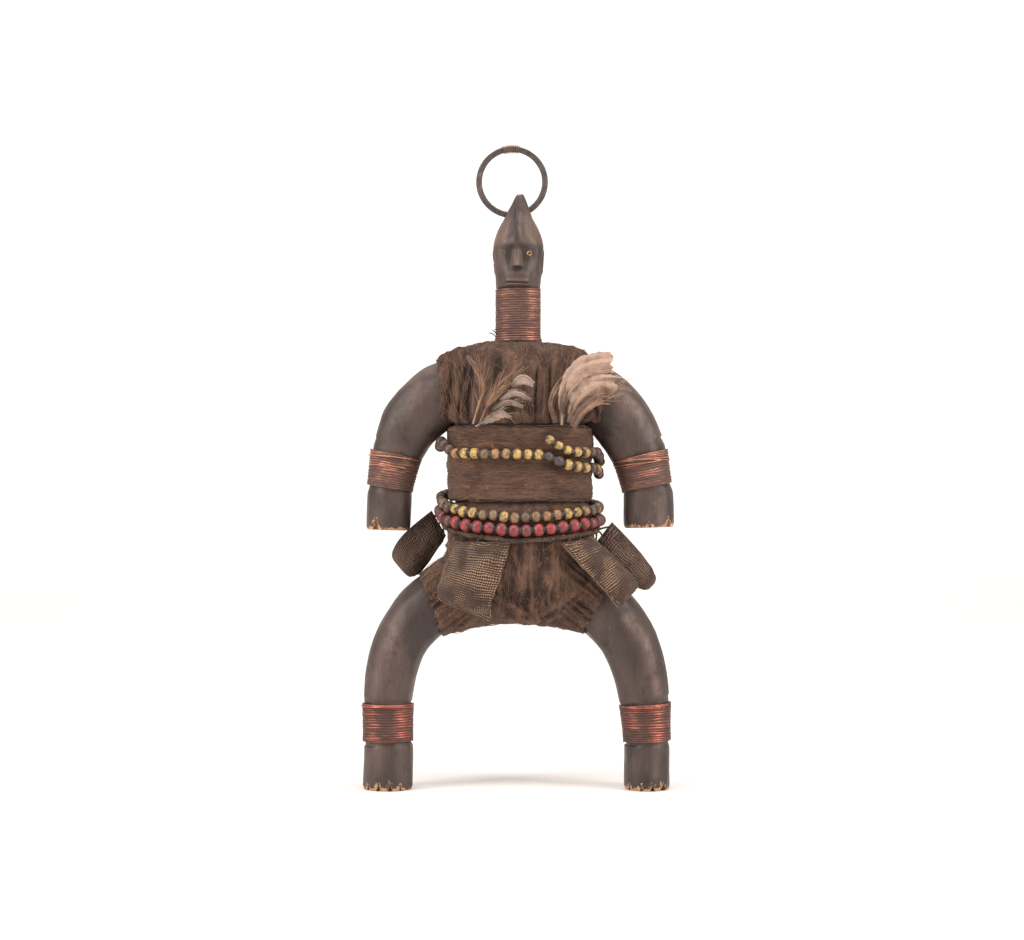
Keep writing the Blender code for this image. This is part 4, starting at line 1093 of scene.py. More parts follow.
def make_wire():
    heap = Heap()
    bottom, top = NECK_CLOTH_TOP + 0.2, 277.2

    def ring_at(share, spin, out):
        height = bottom + (top - bottom) * share
        middle, width, depth, _ = torso_at(height)
        out = out + 0.9 * smooth(share, 0.12, 0.0)
        x, y = middle + (width + out) * np.cos(spin), (depth + out) * np.sin(spin)
        return np.column_stack([x, y, height])

    # Painted highlights in columns down the neck wire
    bright = painted_wire_highlights((-8.3, 2.4, 0, 1, 0.42), (7.0, 2.8, 0, 1, 0.62), (-1.0, 3.0, 0.0, 1.0, 0.10))
    winding(heap, ring_at, 22, NECK_WIRE, 41, bright)
    dark_gap_sleeve(heap, ring_at, NECK_WIRE, 46)
    loose_ends = ((-12.6, 251.6, -2.8, 2.4), (-12.8, 250.2, -4.2, 2.6), (-12.4, 253.2, -1.8, 1.4))
    for k, (x, z, dx, dz) in enumerate(loose_ends):
        path = [(x + dx * s, -4.0 + 1.2 * k - 1.5 * s, z + dz * s + 0.8 * math.sin(3 * s))
                for s in np.linspace(0, 1, 8)]
        heap.tube(path, 0.30, 5, tone=0.0)
    finish(heap.object("neck_copper_wire"), "copper", "neck_wire", material=MATERIALS["copper"])

    # Painted highlights on the outer sides of the arm and ankle wires
    limb_wire("left_arm_copper_wire", "left_arm_wire", ARMS, (2.0, 3.0), 15, 51, painted_wire_highlights(
        (-80.0, 6.0, 0.62, 1.0, 0.75), (-71.5, 5.0, 0.45, 0.72, 0.95), (-62.0, 3.5, 0.68, 0.9, 0.6),
        (-76.0, 5.0, 0.20, 0.36, 0.35)), loose=0.22,
        extra=((0.80, 0.96, 185, 330, 0.2), (0.58, 0.64, 200, 300, 0.1)))
    limb_wire("right_arm_copper_wire", "right_arm_wire", ARMS, (14.0, 13.0), 15, 61, painted_wire_highlights(
        (60.0, 4.5, 0.72, 0.98, 0.7), (72.0, 7.0, 0.70, 1.0, 0.9), (71.0, 6.0, 0.38, 0.55, 0.75),
        (66.0, 8.0, 0.12, 0.30, 0.30)), loose=0.2,
        extra=((0.66, 1.0, 190, 345, 0.3), (0.74, 0.92, 200, 320, 0.25), (0.70, 0.82, 230, 350, 0.2)))
    limb_wire("left_ankle_copper_wire", "left_ankle_wire", LEGS, (2.0, 3.0), 16, 71, painted_wire_highlights(
        (-82.0, 3.2, 0.1, 1.0, 0.75), (-65.0, 3.6, 0.15, 1.0, 0.8), (-73.0, 9.0, 0.90, 1.0, 0.8)), loose=0.14,
        extra=((0.93, 0.99, 190, 350, 0.15), (0.99, 0.90, 215, 345, 0.2), (0.90, 0.97, 200, 300, 0.3)),
        material="dark_copper")
    limb_wire("right_ankle_copper_wire", "right_ankle_wire", LEGS, (18.0, 17.0), 16, 81, painted_wire_highlights(
        (62.0, 3.5, 0.35, 0.98, 0.6), (76.0, 3.6, 0.05, 1.0, 0.95), (69.5, 4.0, 0.85, 1.0, 0.6)), loose=0.14,
        extra=((0.97, 0.92, 215, 300, 0.2), (0.90, 0.99, 240, 330, 0.4)), material="dark_copper")


# Cloth

def nearest(tree, points):
    found = [tree.find_nearest(Vector(p * MM)) for p in points]
    at = np.array([f[0] for f in found]) / MM
    return at, np.linalg.norm(points - at, axis=1)


def tree_of(piece):
    mesh = piece.data
    corners = [v.co.copy() for v in mesh.vertices]
    return BVHTree.FromPolygons(corners, [tuple(p.vertices) for p in mesh.polygons])


def cloth_shell(name, hull, tree, inside, fold, thickness=1.0, edge=5.0):
    """Cloth over the wood. hull is its rough closed shape, inside gives the distance in from its
    edges and fold the height of its folds, both in millimetres."""
    change = hull.modifiers.new("even", "REMESH")
    change.mode = "VOXEL"
    change.voxel_size = CLOTH_VOXEL * MM
    bake(hull)
    points = points_of(hull)
    gone = inside(points) < 0
    work = bmesh.new()
    work.from_mesh(hull.data)
    work.verts.ensure_lookup_table()
    bmesh.ops.delete(work, geom=[work.verts[i] for i in np.nonzero(gone)[0]], context="VERTS")
    for _ in range(3):
        bmesh.ops.smooth_vert(work, verts=work.verts, factor=0.5, use_axis_x=True, use_axis_y=True,
                              use_axis_z=True)
    loose = [v for v in work.verts if not v.link_faces]
    bmesh.ops.delete(work, geom=loose, context="VERTS")
    work.to_mesh(hull.data)
    work.free()
    points, normal = points_of(hull), normals_of(hull)
    at, away = nearest(tree, points)
    rim = smooth(inside(points), edge, 0.0)
    height = fold(points)
    direction = (points - at) / np.maximum(away, 1e-6)[:, None]
    room = np.maximum(away - thickness - GAP - 0.2, 0.0)
    points = points - direction * (rim * room)[:, None] + normal * (height * (1 - 0.8 * rim))[:, None]
    at, away = nearest(tree, points)
    least = thickness + GAP
    push = np.maximum(least - away, 0.0)
    direction = (points - at) / np.maximum(away, 1e-6)[:, None]
    points = points + direction * push[:, None]
    move(hull, points)
    # The fold height, which the cloth material turns into painted shade in the valleys and painted light on
    # the crests
    low, high = np.percentile(height, (4, 94))
    paint(hull, "fold", np.clip((height - low) / (high - low), 0, 1))
    shell = hull.modifiers.new("thickness", "SOLIDIFY")
    shell.thickness = thickness * MM
    shell.offset = -1
    bake(hull)
    hull.data.shade_smooth()
    hull.name = name
    return hull


def add_strands(cloth, count, seed, lead, chosen, lengths=(7.0, 22.0), stand=(0.1, 0.8)):
    """Loose fibres lying on a cloth: lead gives the way they run at a point, chosen where they grow.

    A fibre whose points bunch up where the cloth ends is left out.
    """
    rng = random.Random(seed)
    tree = tree_of(cloth)
    points, normal = points_of(cloth), normals_of(cloth)
    weight = chosen(points, normal)
    pool = np.nonzero(weight > 0.02)[0].tolist()
    share = [float(weight[i]) for i in pool]
    heap = Heap()
    for index in rng.choices(pool, share, k=count):
        at, reach = points[index].copy(), rng.uniform(*lengths)
        heading = lead(at) + np.array([rng.uniform(-0.35, 0.35) for _ in range(3)])
        steps = 9
        turn = rng.uniform(-0.25, 0.25)
        rise = rng.uniform(*stand)
        line = []
        for k in range(steps):
            found, out, _, _ = tree.find_nearest(Vector(at * MM))
            out = np.array(out)
            ground = np.array(found) / MM
            heading = heading - out * float(np.dot(heading, out))
            heading /= np.linalg.norm(heading)
            side = np.cross(out, heading)
            line.append(ground + out * (0.12 + rise * math.sin(math.pi * k / (steps - 1)) ** 2))
            heading = heading + side * (turn * 0.35 + rng.uniform(-0.12, 0.12))
            at = line[-1] + heading * reach / (steps - 1)
        if np.linalg.norm(np.diff(line, axis=0), axis=1).min() < 0.2:
            continue
        size = rng.uniform(0.13, 0.30)
        radius = size * (1 - 0.6 * np.linspace(0, 1, steps))
        heap.tube(line, radius, 4, tone=rng.uniform(0.05, 0.9) ** 1.4)
    strands = make("strands", np.concatenate(heap.vertices), heap.faces)
    paint(strands, "strand", np.concatenate(heap.tones))
    # Strands are painted as fully lit crests
    paint(strands, "fold", np.ones(heap.count))
    strands.data.materials.append(cloth.data.materials[0])
    return join(cloth.name, [cloth, strands])


def declare_sheet(cloth):
    points = points_of(cloth) * MM


def ridges(points, size, seed, power=1.0):
    """Sharp crests between rounded valleys, from 0 to 1."""
    value = 1 - np.abs(noise3(points / np.asarray(size, float), seed))
    return value ** (2.0 * power)


def side_line(points, line):
    """x of a sloping edge at each point's height."""
    (x0, z0), (x1, z1) = line
    return x0 + (x1 - x0) * (points[:, 2] - z0) / (z1 - z0)


def make_chest_cloth(tree):
    heights = np.array([195.0, 201.3, 205.0, 212.0, 218.0, 224.0, 229.0, 234.0, 237.0, 240.0, 243.5])
    turns = circle(72)
    lift = 3.2 * np.clip((heights - 224.0) / 16.0, 0, 1)
    rings = torso_rings(heights, turns, GAP + CHEST_CLOTH, lift)
    neck = torso_rings(np.array([246.0]), turns, GAP + 2.4, NECK_CLOTH_TOP - 246.0)
    hull = loft("chest_hull", np.concatenate([rings, neck]))
    sleeves = loft("sleeves", limb_rings(ARMS, np.linspace(5.0, 11.0, 90), turns, GAP + SLEEVE_CLOTH))
    boolean(hull, sleeves, "UNION")

    def inside(points):
        left = points[:, 0] - side_line(points, CHEST_OUTLINE[:2])
        right = side_line(points, CHEST_OUTLINE[:1:-1]) - points[:, 0]
        jag = 1.3 * layers(points, (5, 5, 3.2), 61, 3)
        bottom = points[:, 2] - 201.6
        middle = np.hypot(points[:, 0] + 1.0, points[:, 1])
        neck = np.where(points[:, 2] > 243.0, middle - 12.2, 20.0)
        return np.minimum(np.minimum(left, right) + jag, np.minimum(bottom, neck))

    def fold(points):
        x, y, z = points.T
        spread = x / (1 + 0.004 * (z - 201)) + 1.8 * noise3(points / 11.0, 60)
        lean = np.column_stack([spread, y, z])
        deep = ridges(lean, (5.6, 11.0, 60.0), 62) - 0.55
        small = ridges(lean, (2.6, 5.0, 30.0), 63) - 0.5
        knots = layers(points, 6.0, 64, 3)
        centre = bell(x, 4, 13.0) * smooth(y, 0, -12)
        creases = ridges(np.column_stack([x, y, z + 0.5 * x]), (30.0, 20.0, 5.0), 75) - 0.6
        neck = smooth(z, 236.0, 243.0)
        gaps = 0.0      # slits between the bundles of fibre
        for at, lean_by, half in CHEST_SLITS:
            line = at + lean_by * (z - 210) + 0.8 * noise3(np.column_stack([z * 0.12, 0 * z, 0 * z + at]), 76)
            gaps = gaps + bell(x, line, half) * smooth(z, 240.0, 228.0) * smooth(y, 4, -8)
        tall = (2.0 * deep + 0.9 * small) * (1 - 0.5 * centre) * (1 - 0.6 * neck)
        return tall + 0.45 * knots + 0.5 * creases * centre - 1.7 * gaps

    cloth = cloth_shell("chest_cloth_wrap", hull, tree, inside, fold)
    cloth.data.materials.append(cloth_material("chest_cloth_fibre", (1.0, 1.6, 11)))

    def lead(at):
        return np.array([0.012 * at[0], 0.0, 1.0])

    def chosen(points, normal):
        rim = smooth(inside(points), 9.0, 1.0)
        side = smooth(np.abs(points[:, 0] - 2), 12.0, 30.0)
        return (0.25 + 0.9 * side + 1.2 * rim) * (normal[:, 1] < 0.5) * (points[:, 1] < 6)

    cloth = add_strands(cloth, STRANDS["chest"], 401, lead, chosen)
    finish(cloth, "cloth", "chest_cloth")
    declare_sheet(cloth)


def make_waist_band():
    turns = circle(240)
    heights = np.linspace(WAIST_BOTTOM, WAIST_TOP, 62)
    grid_turn, grid_height = np.meshgrid(turns, heights)
    rings = torso_rings(heights, turns, GAP + WAIST_CLOTH - 0.45)
    flat = rings.reshape(-1, 3)
    slope = (grid_height + 1.1 * np.sin(grid_turn + 0.6)).ravel() + 0.6 * noise3(flat / 8.0, 70)
    steps = sum(np.exp(-np.abs(slope - at) / 3.0) * (slope > at) for at in (160.5, 174.5, 189.0))
    lines = sum(bell(slope, at, 0.55) for at in (174.2, 188.6, 181.5))
    wind = ridges(flat, (40.0, 40.0, 4.2), 71) - 0.5
    broad = layers(flat, (22.0, 22.0, 9.0), 72, 2)
    knots = layers(flat, 4.5, 73, 3)
    height = 0.38 * wind + 0.40 * broad + 0.24 * knots + 0.30 * steps - 0.30 * lines
    ends = np.minimum(grid_height - WAIST_BOTTOM, WAIST_TOP - grid_height).ravel()
    height = height - 1.3 * smooth(ends, 2.0, 0.0)
    out = unit(flat * np.array([1, 1, 0]))
    outer = flat + out * height[:, None]
    uneven = 0.8 * layers(flat, (5.0, 5.0, 400.0), 74, 3)
    outer[:, 2] -= uneven * smooth(ends, 3.0, 0.0) * (flat[:, 2] > 180)
    outer = outer.reshape(rings.shape)
    inner = torso_rings(heights[::-7], turns, GAP)
    band = loft("waist_band_wrap", np.concatenate([outer, inner]), closed=True)
    # Fold tone from the relief: painted shade in the grooves and at the band's ends, painted light on its
    # ridges
    tone = np.clip(0.62 + 0.5 * height, 0, 1)
    paint(band, "fold", np.concatenate([tone, np.zeros(inner.shape[0] * inner.shape[1])]))
    band.data.materials.append(cloth_material("waist_cloth_fibre", (7, 7, 1.0), rust=0.85))

    def lead(at):
        return np.array([-at[1], at[0], 0.0])

    def chosen(points, normal):
        ends = np.minimum(points[:, 2] - WAIST_BOTTOM, WAIST_TOP - points[:, 2])
        outside = (normal[:, 0] * points[:, 0] + normal[:, 1] * points[:, 1]) > 0
        return (0.15 + smooth(ends, 6.0, 1.0)) * outside

    band = add_strands(band, STRANDS["waist"], 402, lead, chosen, lengths=(8.0, 20.0), stand=(0.0, 0.3))
    finish(band, "cloth", "waist_band")
    declare_sheet(band)


def make_hip_cloth(tree):
    turns = circle(72)
    heights = np.array([CLOTH_BOTTOM, 98.0, 103.0, 112.0, 128.0, 140.0, 152.0, 159.7])
    hull = loft("hip_hull", torso_rings(heights, turns, GAP + HIP_CLOTH))
    thighs = loft("thighs", limb_rings(LEGS, np.linspace(6.6, 13.4, 110), turns, GAP + THIGH_CLOTH))
    boolean(hull, thighs, "UNION")

    def inside(points):
        left = points[:, 0] - side_line(points, HIP_LEFT)
        right = side_line(points, HIP_RIGHT) - points[:, 0]
        jag = 1.5 * layers(points, (4.5, 4.5, 4.5), 65, 3)
        top = 159.4 - points[:, 2]
        return np.minimum(np.minimum(left, right) + jag, top)

    def fold(points):
        x, y, z = points.T
        side = smooth(np.abs(x + 1.0), 20.0, 33.0)
        steep = np.column_stack([x + 1.5 * noise3(points / 9.0, 60), y, z])
        gather = ridges(steep, (4.6, 9.0, 34.0), 66) - 0.55
        fine = ridges(steep, (2.2, 5.0, 18.0), 67) - 0.5
        turn = np.sign(x + 1.0)
        sash = np.column_stack([x * 0.5, y, z + 0.85 * (x + 1.0) * turn])
        wrapped_round = ridges(sash, (26.0, 22.0, 4.4), 68) - 0.55
        knots = layers(points, 5.5, 69, 3)
        low = smooth(z, 148.0, 126.0)
        middle = bell(x, 8, 22.0) * smooth(y, -4, -14)
        upright = (2.1 * gather + 0.9 * fine) * middle
        ropes = 0.0
        for slope_by, foot, half in HIP_ROPES:
            line = foot + slope_by * (x - 2.0)
            ropes = ropes + bell(z, line, half) * smooth(np.abs(x), 44.0, 30.0) * smooth(y, 6, -8)
        front = (1 - side) * upright * (0.25 + 0.75 * low)
        return front + side * 2.2 * wrapped_round + 0.5 * knots + 1.2 * ropes

    cloth = cloth_shell("hip_cloth_wrap", hull, tree, inside, fold)
    cloth.data.materials.append(cloth_material("hip_cloth_fibre", (1.2, 1.2, 6), rust=0.7))

    def lead(at):
        side = min(max((abs(at[0]) - 18.0) / 16.0, 0.0), 1.0)
        return np.array([0.85 * math.copysign(side, at[0]) * -1.0, 0.0, 1.0 - 0.35 * side])

    def chosen(points, _):
        rim = smooth(inside(points), 8.0, 1.0) * (points[:, 2] < 152)
        under = smooth(points[:, 2], 112.0, 96.0)
        return (0.2 + 1.3 * rim + 0.8 * under) * (points[:, 1] < 8)

    cloth = add_strands(cloth, STRANDS["hip"], 403, lead, chosen, lengths=(6.0, 18.0))
    finish(cloth, "cloth", "hip_cloth")
    declare_sheet(cloth)


# Beads and cord

def wrapped(bearing, height, out):
    middle, width, depth, squareness = torso_at(height)
    grow = GAP + max(WAIST_CLOTH, HIP_CLOTH) + out
    x, y = outline(width + grow, depth + grow, depth + grow, squareness, np.radians(bearing))
    return np.stack([middle + x, y, np.broadcast_to(height, np.shape(x))], axis=-1)


def even_path(points, closed, out, lower, count):
    """Points evenly spaced along a string round the body, and its length."""
    rows = np.array(points, float)
    if closed:
        rows = np.vstack([rows[-2:] - [360, 0], rows, rows[:3] + [360, 0]])
        first, last = 2.0, 2.0 + len(points)
    else:
        first, last = 0.0, len(rows) - 1.0
    line = spline(rows, np.linspace(first, last, 1600))
    fine = wrapped(line[:, 0], line[:, 1] - lower, out)
    so_far = lengths_along(fine)
    wanted = np.linspace(0, so_far[-1], count)
    return np.column_stack([np.interp(wanted, so_far, c) for c in fine.T]), so_far[-1]


def bead(heap, middle, along, radius, length, tone, sides=18):
    # The last number darkens each end of the bead: dirt and painted shade where beads meet
    half = [(0.5, 0.22, 1.0), (0.485, 0.42, 1.0), (0.43, 0.63, 0.8), (0.33, 0.81, 0.45), (0.18, 0.95, 0.12)]
    profile = [(-a, r, g) for a, r, g in half] + [(0.0, 1.0, 0.0)] + half[::-1]
    along = along / np.linalg.norm(along)
    side = np.cross(along, [0.0, 0.0, 1.0])
    side /= np.linalg.norm(side)
    up = np.cross(side, along)
    around = np.outer(np.cos(circle(sides)), side) + np.outer(np.sin(circle(sides)), up)
    rings = [middle + along * (a * length) + around * (r * radius) for a, r, _ in profile]
    heap.add(rings, grid_faces(len(profile), sides), tone)
    heap.grime.append(np.repeat([g for _, _, g in profile], sides))


def bead_string(name, node, points, size, pitch, closed, lower, material, seed, tones, small_ends=0):
    """Beads on a dirty thread; tones picks the tone of bead k at its place."""
    path, total = even_path(points, closed, size / 2 + GAP, lower, PATH_STEPS + 1)
    count = max(3, round(total / pitch))
    step = total / count
    rng = random.Random(seed)
    heap = Heap()
    thread = path[:-1:4] if closed else path[::4]
    heap.tube(thread, 1.7 + 0.4 * noise3(thread / 2.0, seed), 10, tone=0.85, closed=closed)
    heap.grime.append(np.ones(len(thread) * 10))
    for k in range(count):
        at = (k + 0.5) / count * PATH_STEPS
        index = int(at)
        along = path[min(index + 2, PATH_STEPS)] - path[max(index - 2, 0)]
        middle = path[index] + (path[min(index + 1, PATH_STEPS)] - path[index]) * (at - index)
        tilt = np.array([rng.uniform(-0.14, 0.14) for _ in range(3)])
        along = along / np.linalg.norm(along) + tilt
        scale = rng.uniform(0.86, 1.04)
        if small_ends and k < small_ends:
            scale *= 0.72 + 0.07 * k
        middle = middle + np.array([0, 0, rng.uniform(-0.3, 0.3)])
        length = step * rng.uniform(0.93, 1.0)
        bead(heap, middle, along, size / 2 * scale, length, tones(k, rng, middle))
    made = heap.object(name, smooth_angle=55)
    paint(made, "grime", np.concatenate(heap.grime))
    return finish(made, node[0], node[1], material=material)


def make_beads():
    yellow_stops = (
        (0.0, (0.56, 0.37, 0.10)), (0.25, (0.45, 0.29, 0.10)), (0.45, (0.40, 0.19, 0.07)),
        (0.62, (0.19, 0.125, 0.065)), (0.80, (0.105, 0.062, 0.045)), (0.90, (0.066, 0.042, 0.035)),
        (1.0, (0.010, 0.014, 0.026)),
    )
    yellow = bead_material("yellow_bead_glass", yellow_stops, (0.110, 0.058, 0.028), (0.66, 0.52, 0.30))
    red_stops = (
        (0.0, (0.40, 0.024, 0.032)), (0.35, (0.27, 0.026, 0.032)), (0.6, (0.16, 0.026, 0.030)),
        (0.8, (0.115, 0.042, 0.038)), (1.0, (0.070, 0.042, 0.036)),
    )
    red = bead_material("red_bead_glass", red_stops, (0.12, 0.025, 0.022), (0.66, 0.30, 0.26))

    def upper_tone(k, rng, middle):
        x, y = middle[:2]
        if y > -22 and rng.random() < 0.75:
            return rng.uniform(0.80, 0.93)
        if abs(x) > 43:
            return rng.uniform(0.80, 0.9)
        if abs(x - 18.5) < 3.0 and y < 0 and k > 20:
            return 1.0
        return rng.choice((0.0, 0.05, 0.1, 0.25, 0.3, 0.45, 0.62)) + rng.uniform(0, 0.05)

    def lower_tone(k, rng, middle):
        x, y = middle[:2]
        if y > -20:
            return rng.uniform(0.78, 0.92) if rng.random() < 0.8 else rng.uniform(0.3, 0.6)
        if abs(x - 4) < 4.5 or x > 36:
            return rng.uniform(0.76, 0.85)
        return rng.choice((0.0, 0.05, 0.2, 0.3, 0.45, 0.55)) + rng.uniform(0, 0.05)

    def red_tone(k, rng, middle):
        x, y = middle[:2]
        if y > -20:
            return rng.uniform(0.5, 1.0)
        if x > 30 and rng.random() < 0.5:
            return rng.uniform(0.7, 0.95)
        if abs(x + 4) < 12:
            return rng.uniform(0.35, 0.7)
        return rng.uniform(0.0, 0.45)

    bead_string("upper_bead_wrap", ("yellow_beads", "upper_bead_string"), UPPER_STRING, YELLOW_BEAD,
                YELLOW_PITCH, False, 0.0, yellow, 101, upper_tone, small_ends=5)
    bead_string("lower_yellow_bead_wrap", ("yellow_beads", "lower_yellow_beads"), LOWER_STRING, YELLOW_BEAD,
                YELLOW_PITCH, True, 0.0, yellow, 102, lower_tone)
    bead_string("red_bead_wrap", ("red_beads", "red_beads"), LOWER_STRING, RED_BEAD, RED_PITCH, True,
                RED_LOWER, red, 103, red_tone)


def make_pouch_cord():
    """The cord under the red beads, crusted with dirt and light crumbs."""
    radius = CORD_DIAMETER / 2
    path, _ = even_path(LOWER_STRING, True, radius + GAP, CORD_LOWER, 321)
    path = path[:-1]
    rings = tube_rings(path, radius * 0.95, 14, closed=True)
    flat = rings.reshape(-1, 3)
    middle = np.repeat(path, 14, axis=0)
    direction = (flat - middle) / (radius * 0.95)
    swell = 0.45 * layers(flat, 3.4, 81, 3) + 0.25 * layers(flat, 1.3, 82, 2)
    flat = flat + direction * swell[:, None]
    heap = Heap()
    heap.add(flat, grid_faces(len(path), 14, closed=True), 0.15)
    rng = random.Random(83)
    for _ in range(CRUMBS):
        k = rng.randrange(len(path))
        turn = rng.uniform(0, TAU)
        ring = rings[k]
        centre = ring[int(turn / TAU * 14) % 14] + np.array([rng.uniform(-0.4, 0.4) for _ in range(3)])
        size = rng.uniform(0.25, 1.05)
        crumb(heap, centre, size, rng, 1.0 if size < 0.6 and rng.random() < 0.3 else rng.uniform(0, 0.35))
    return finish(heap.object("crusted_pouch_cord"), "cloth", "pouch_cord", material=crust_material())


def crumb(heap, centre, size, rng, tone):
    """A small irregular lump of eight faces."""
    corners = [(1, 0, 0), (-1, 0, 0), (0, 1, 0), (0, -1, 0), (0, 0, 1), (0, 0, -1)]
    points = [centre + np.array(c) * size * rng.uniform(0.6, 1.1) for c in corners]
    faces = [(0, 2, 4), (2, 1, 4), (1, 3, 4), (3, 0, 4), (2, 0, 5), (1, 2, 5), (3, 1, 5), (0, 3, 5)]
    heap.add(points, faces, tone)


def crust_material():
    g = Graph("crusted_cord")
    grain = g.noise(1.1, 5, 0.7)
    broad = g.noise(6, 3)
    colour = g.ramp(broad, ((0.35, (0.040, 0.023, 0.017)), (0.68, (0.10, 0.056, 0.038))))
    colour = g.mix(g.span(g.tone(), 0.1, 1.0, 0.0, 0.85), colour, (0.42, 0.34, 0.28))
    g.bump([(grain, 0.8, 0.5)])
    return g.finish(colour, g.span(grain, 0.3, 0.7, 0.7, 0.95), Specular_IOR_Level=0.25)


# Pouches

def cord_point(bearing):
    """The middle of the pouch cord at a bearing."""
    bearings = np.array([row[0] for row in LOWER_STRING] + [360.0])
    heights = np.array([row[1] for row in LOWER_STRING] + [LOWER_STRING[0][1]])
    height = np.interp(bearing % 360, bearings, heights)
    return wrapped(bearing, height - CORD_LOWER, CORD_DIAMETER / 2 + GAP)


def pouch_place(corners):
    """Where a share across and a share down the middle sheet of a pouch is."""
    top_left, top_right, bottom_right, bottom_left = (np.array(c, float) for c in corners)

    def place(across, down):
        left = top_left + (bottom_left - top_left) * down
        right = top_right + (bottom_right - top_right) * down
        row = left + (right - left) * across
        return wrapped(row[0], row[1], row[2])

    return place


def settle(points, faces, sewn, grow=0.09, cap=2.4, pressure=4.0):
    """Cloth simulation of a bag held at its sewn points: its cloth grows by a share and is blown up.

    The bag is simulated larger than it is, where the solver is steady, and no point moves farther
    than cap millimetres.
    """
    scene = bpy.context.scene
    bag = make("settling_bag", points * SETTLE_SCALE, faces)
    bag.vertex_groups.new(name="sewn").add([int(i) for i in sewn], 1.0, "REPLACE")
    change = bag.modifiers.new("cloth", "CLOTH")
    change.point_cache.frame_start, change.point_cache.frame_end = 1, SETTLE_FRAMES
    change.collision_settings.use_collision = False
    cloth = change.settings
    cloth.quality = 7
    cloth.mass = 0.15
    cloth.tension_stiffness = cloth.compression_stiffness = 12
    cloth.shear_stiffness = 4
    cloth.bending_stiffness = 0.08
    cloth.use_pressure = True
    cloth.uniform_pressure_force = pressure
    cloth.effector_weights.gravity = 0
    cloth.vertex_group_mass = "sewn"
    cloth.shrink_min = -grow
    for number in range(1, SETTLE_FRAMES + 1):
        scene.frame_set(number)
    bake(bag)
    moved = points_of(bag) / SETTLE_SCALE - points
    bpy.data.objects.remove(bag)
    scene.frame_set(1)
    moved = np.nan_to_num(moved)
    far = np.linalg.norm(moved, axis=1, keepdims=True)
    return points + moved * np.minimum(1.0, cap / np.maximum(far, 1e-9))


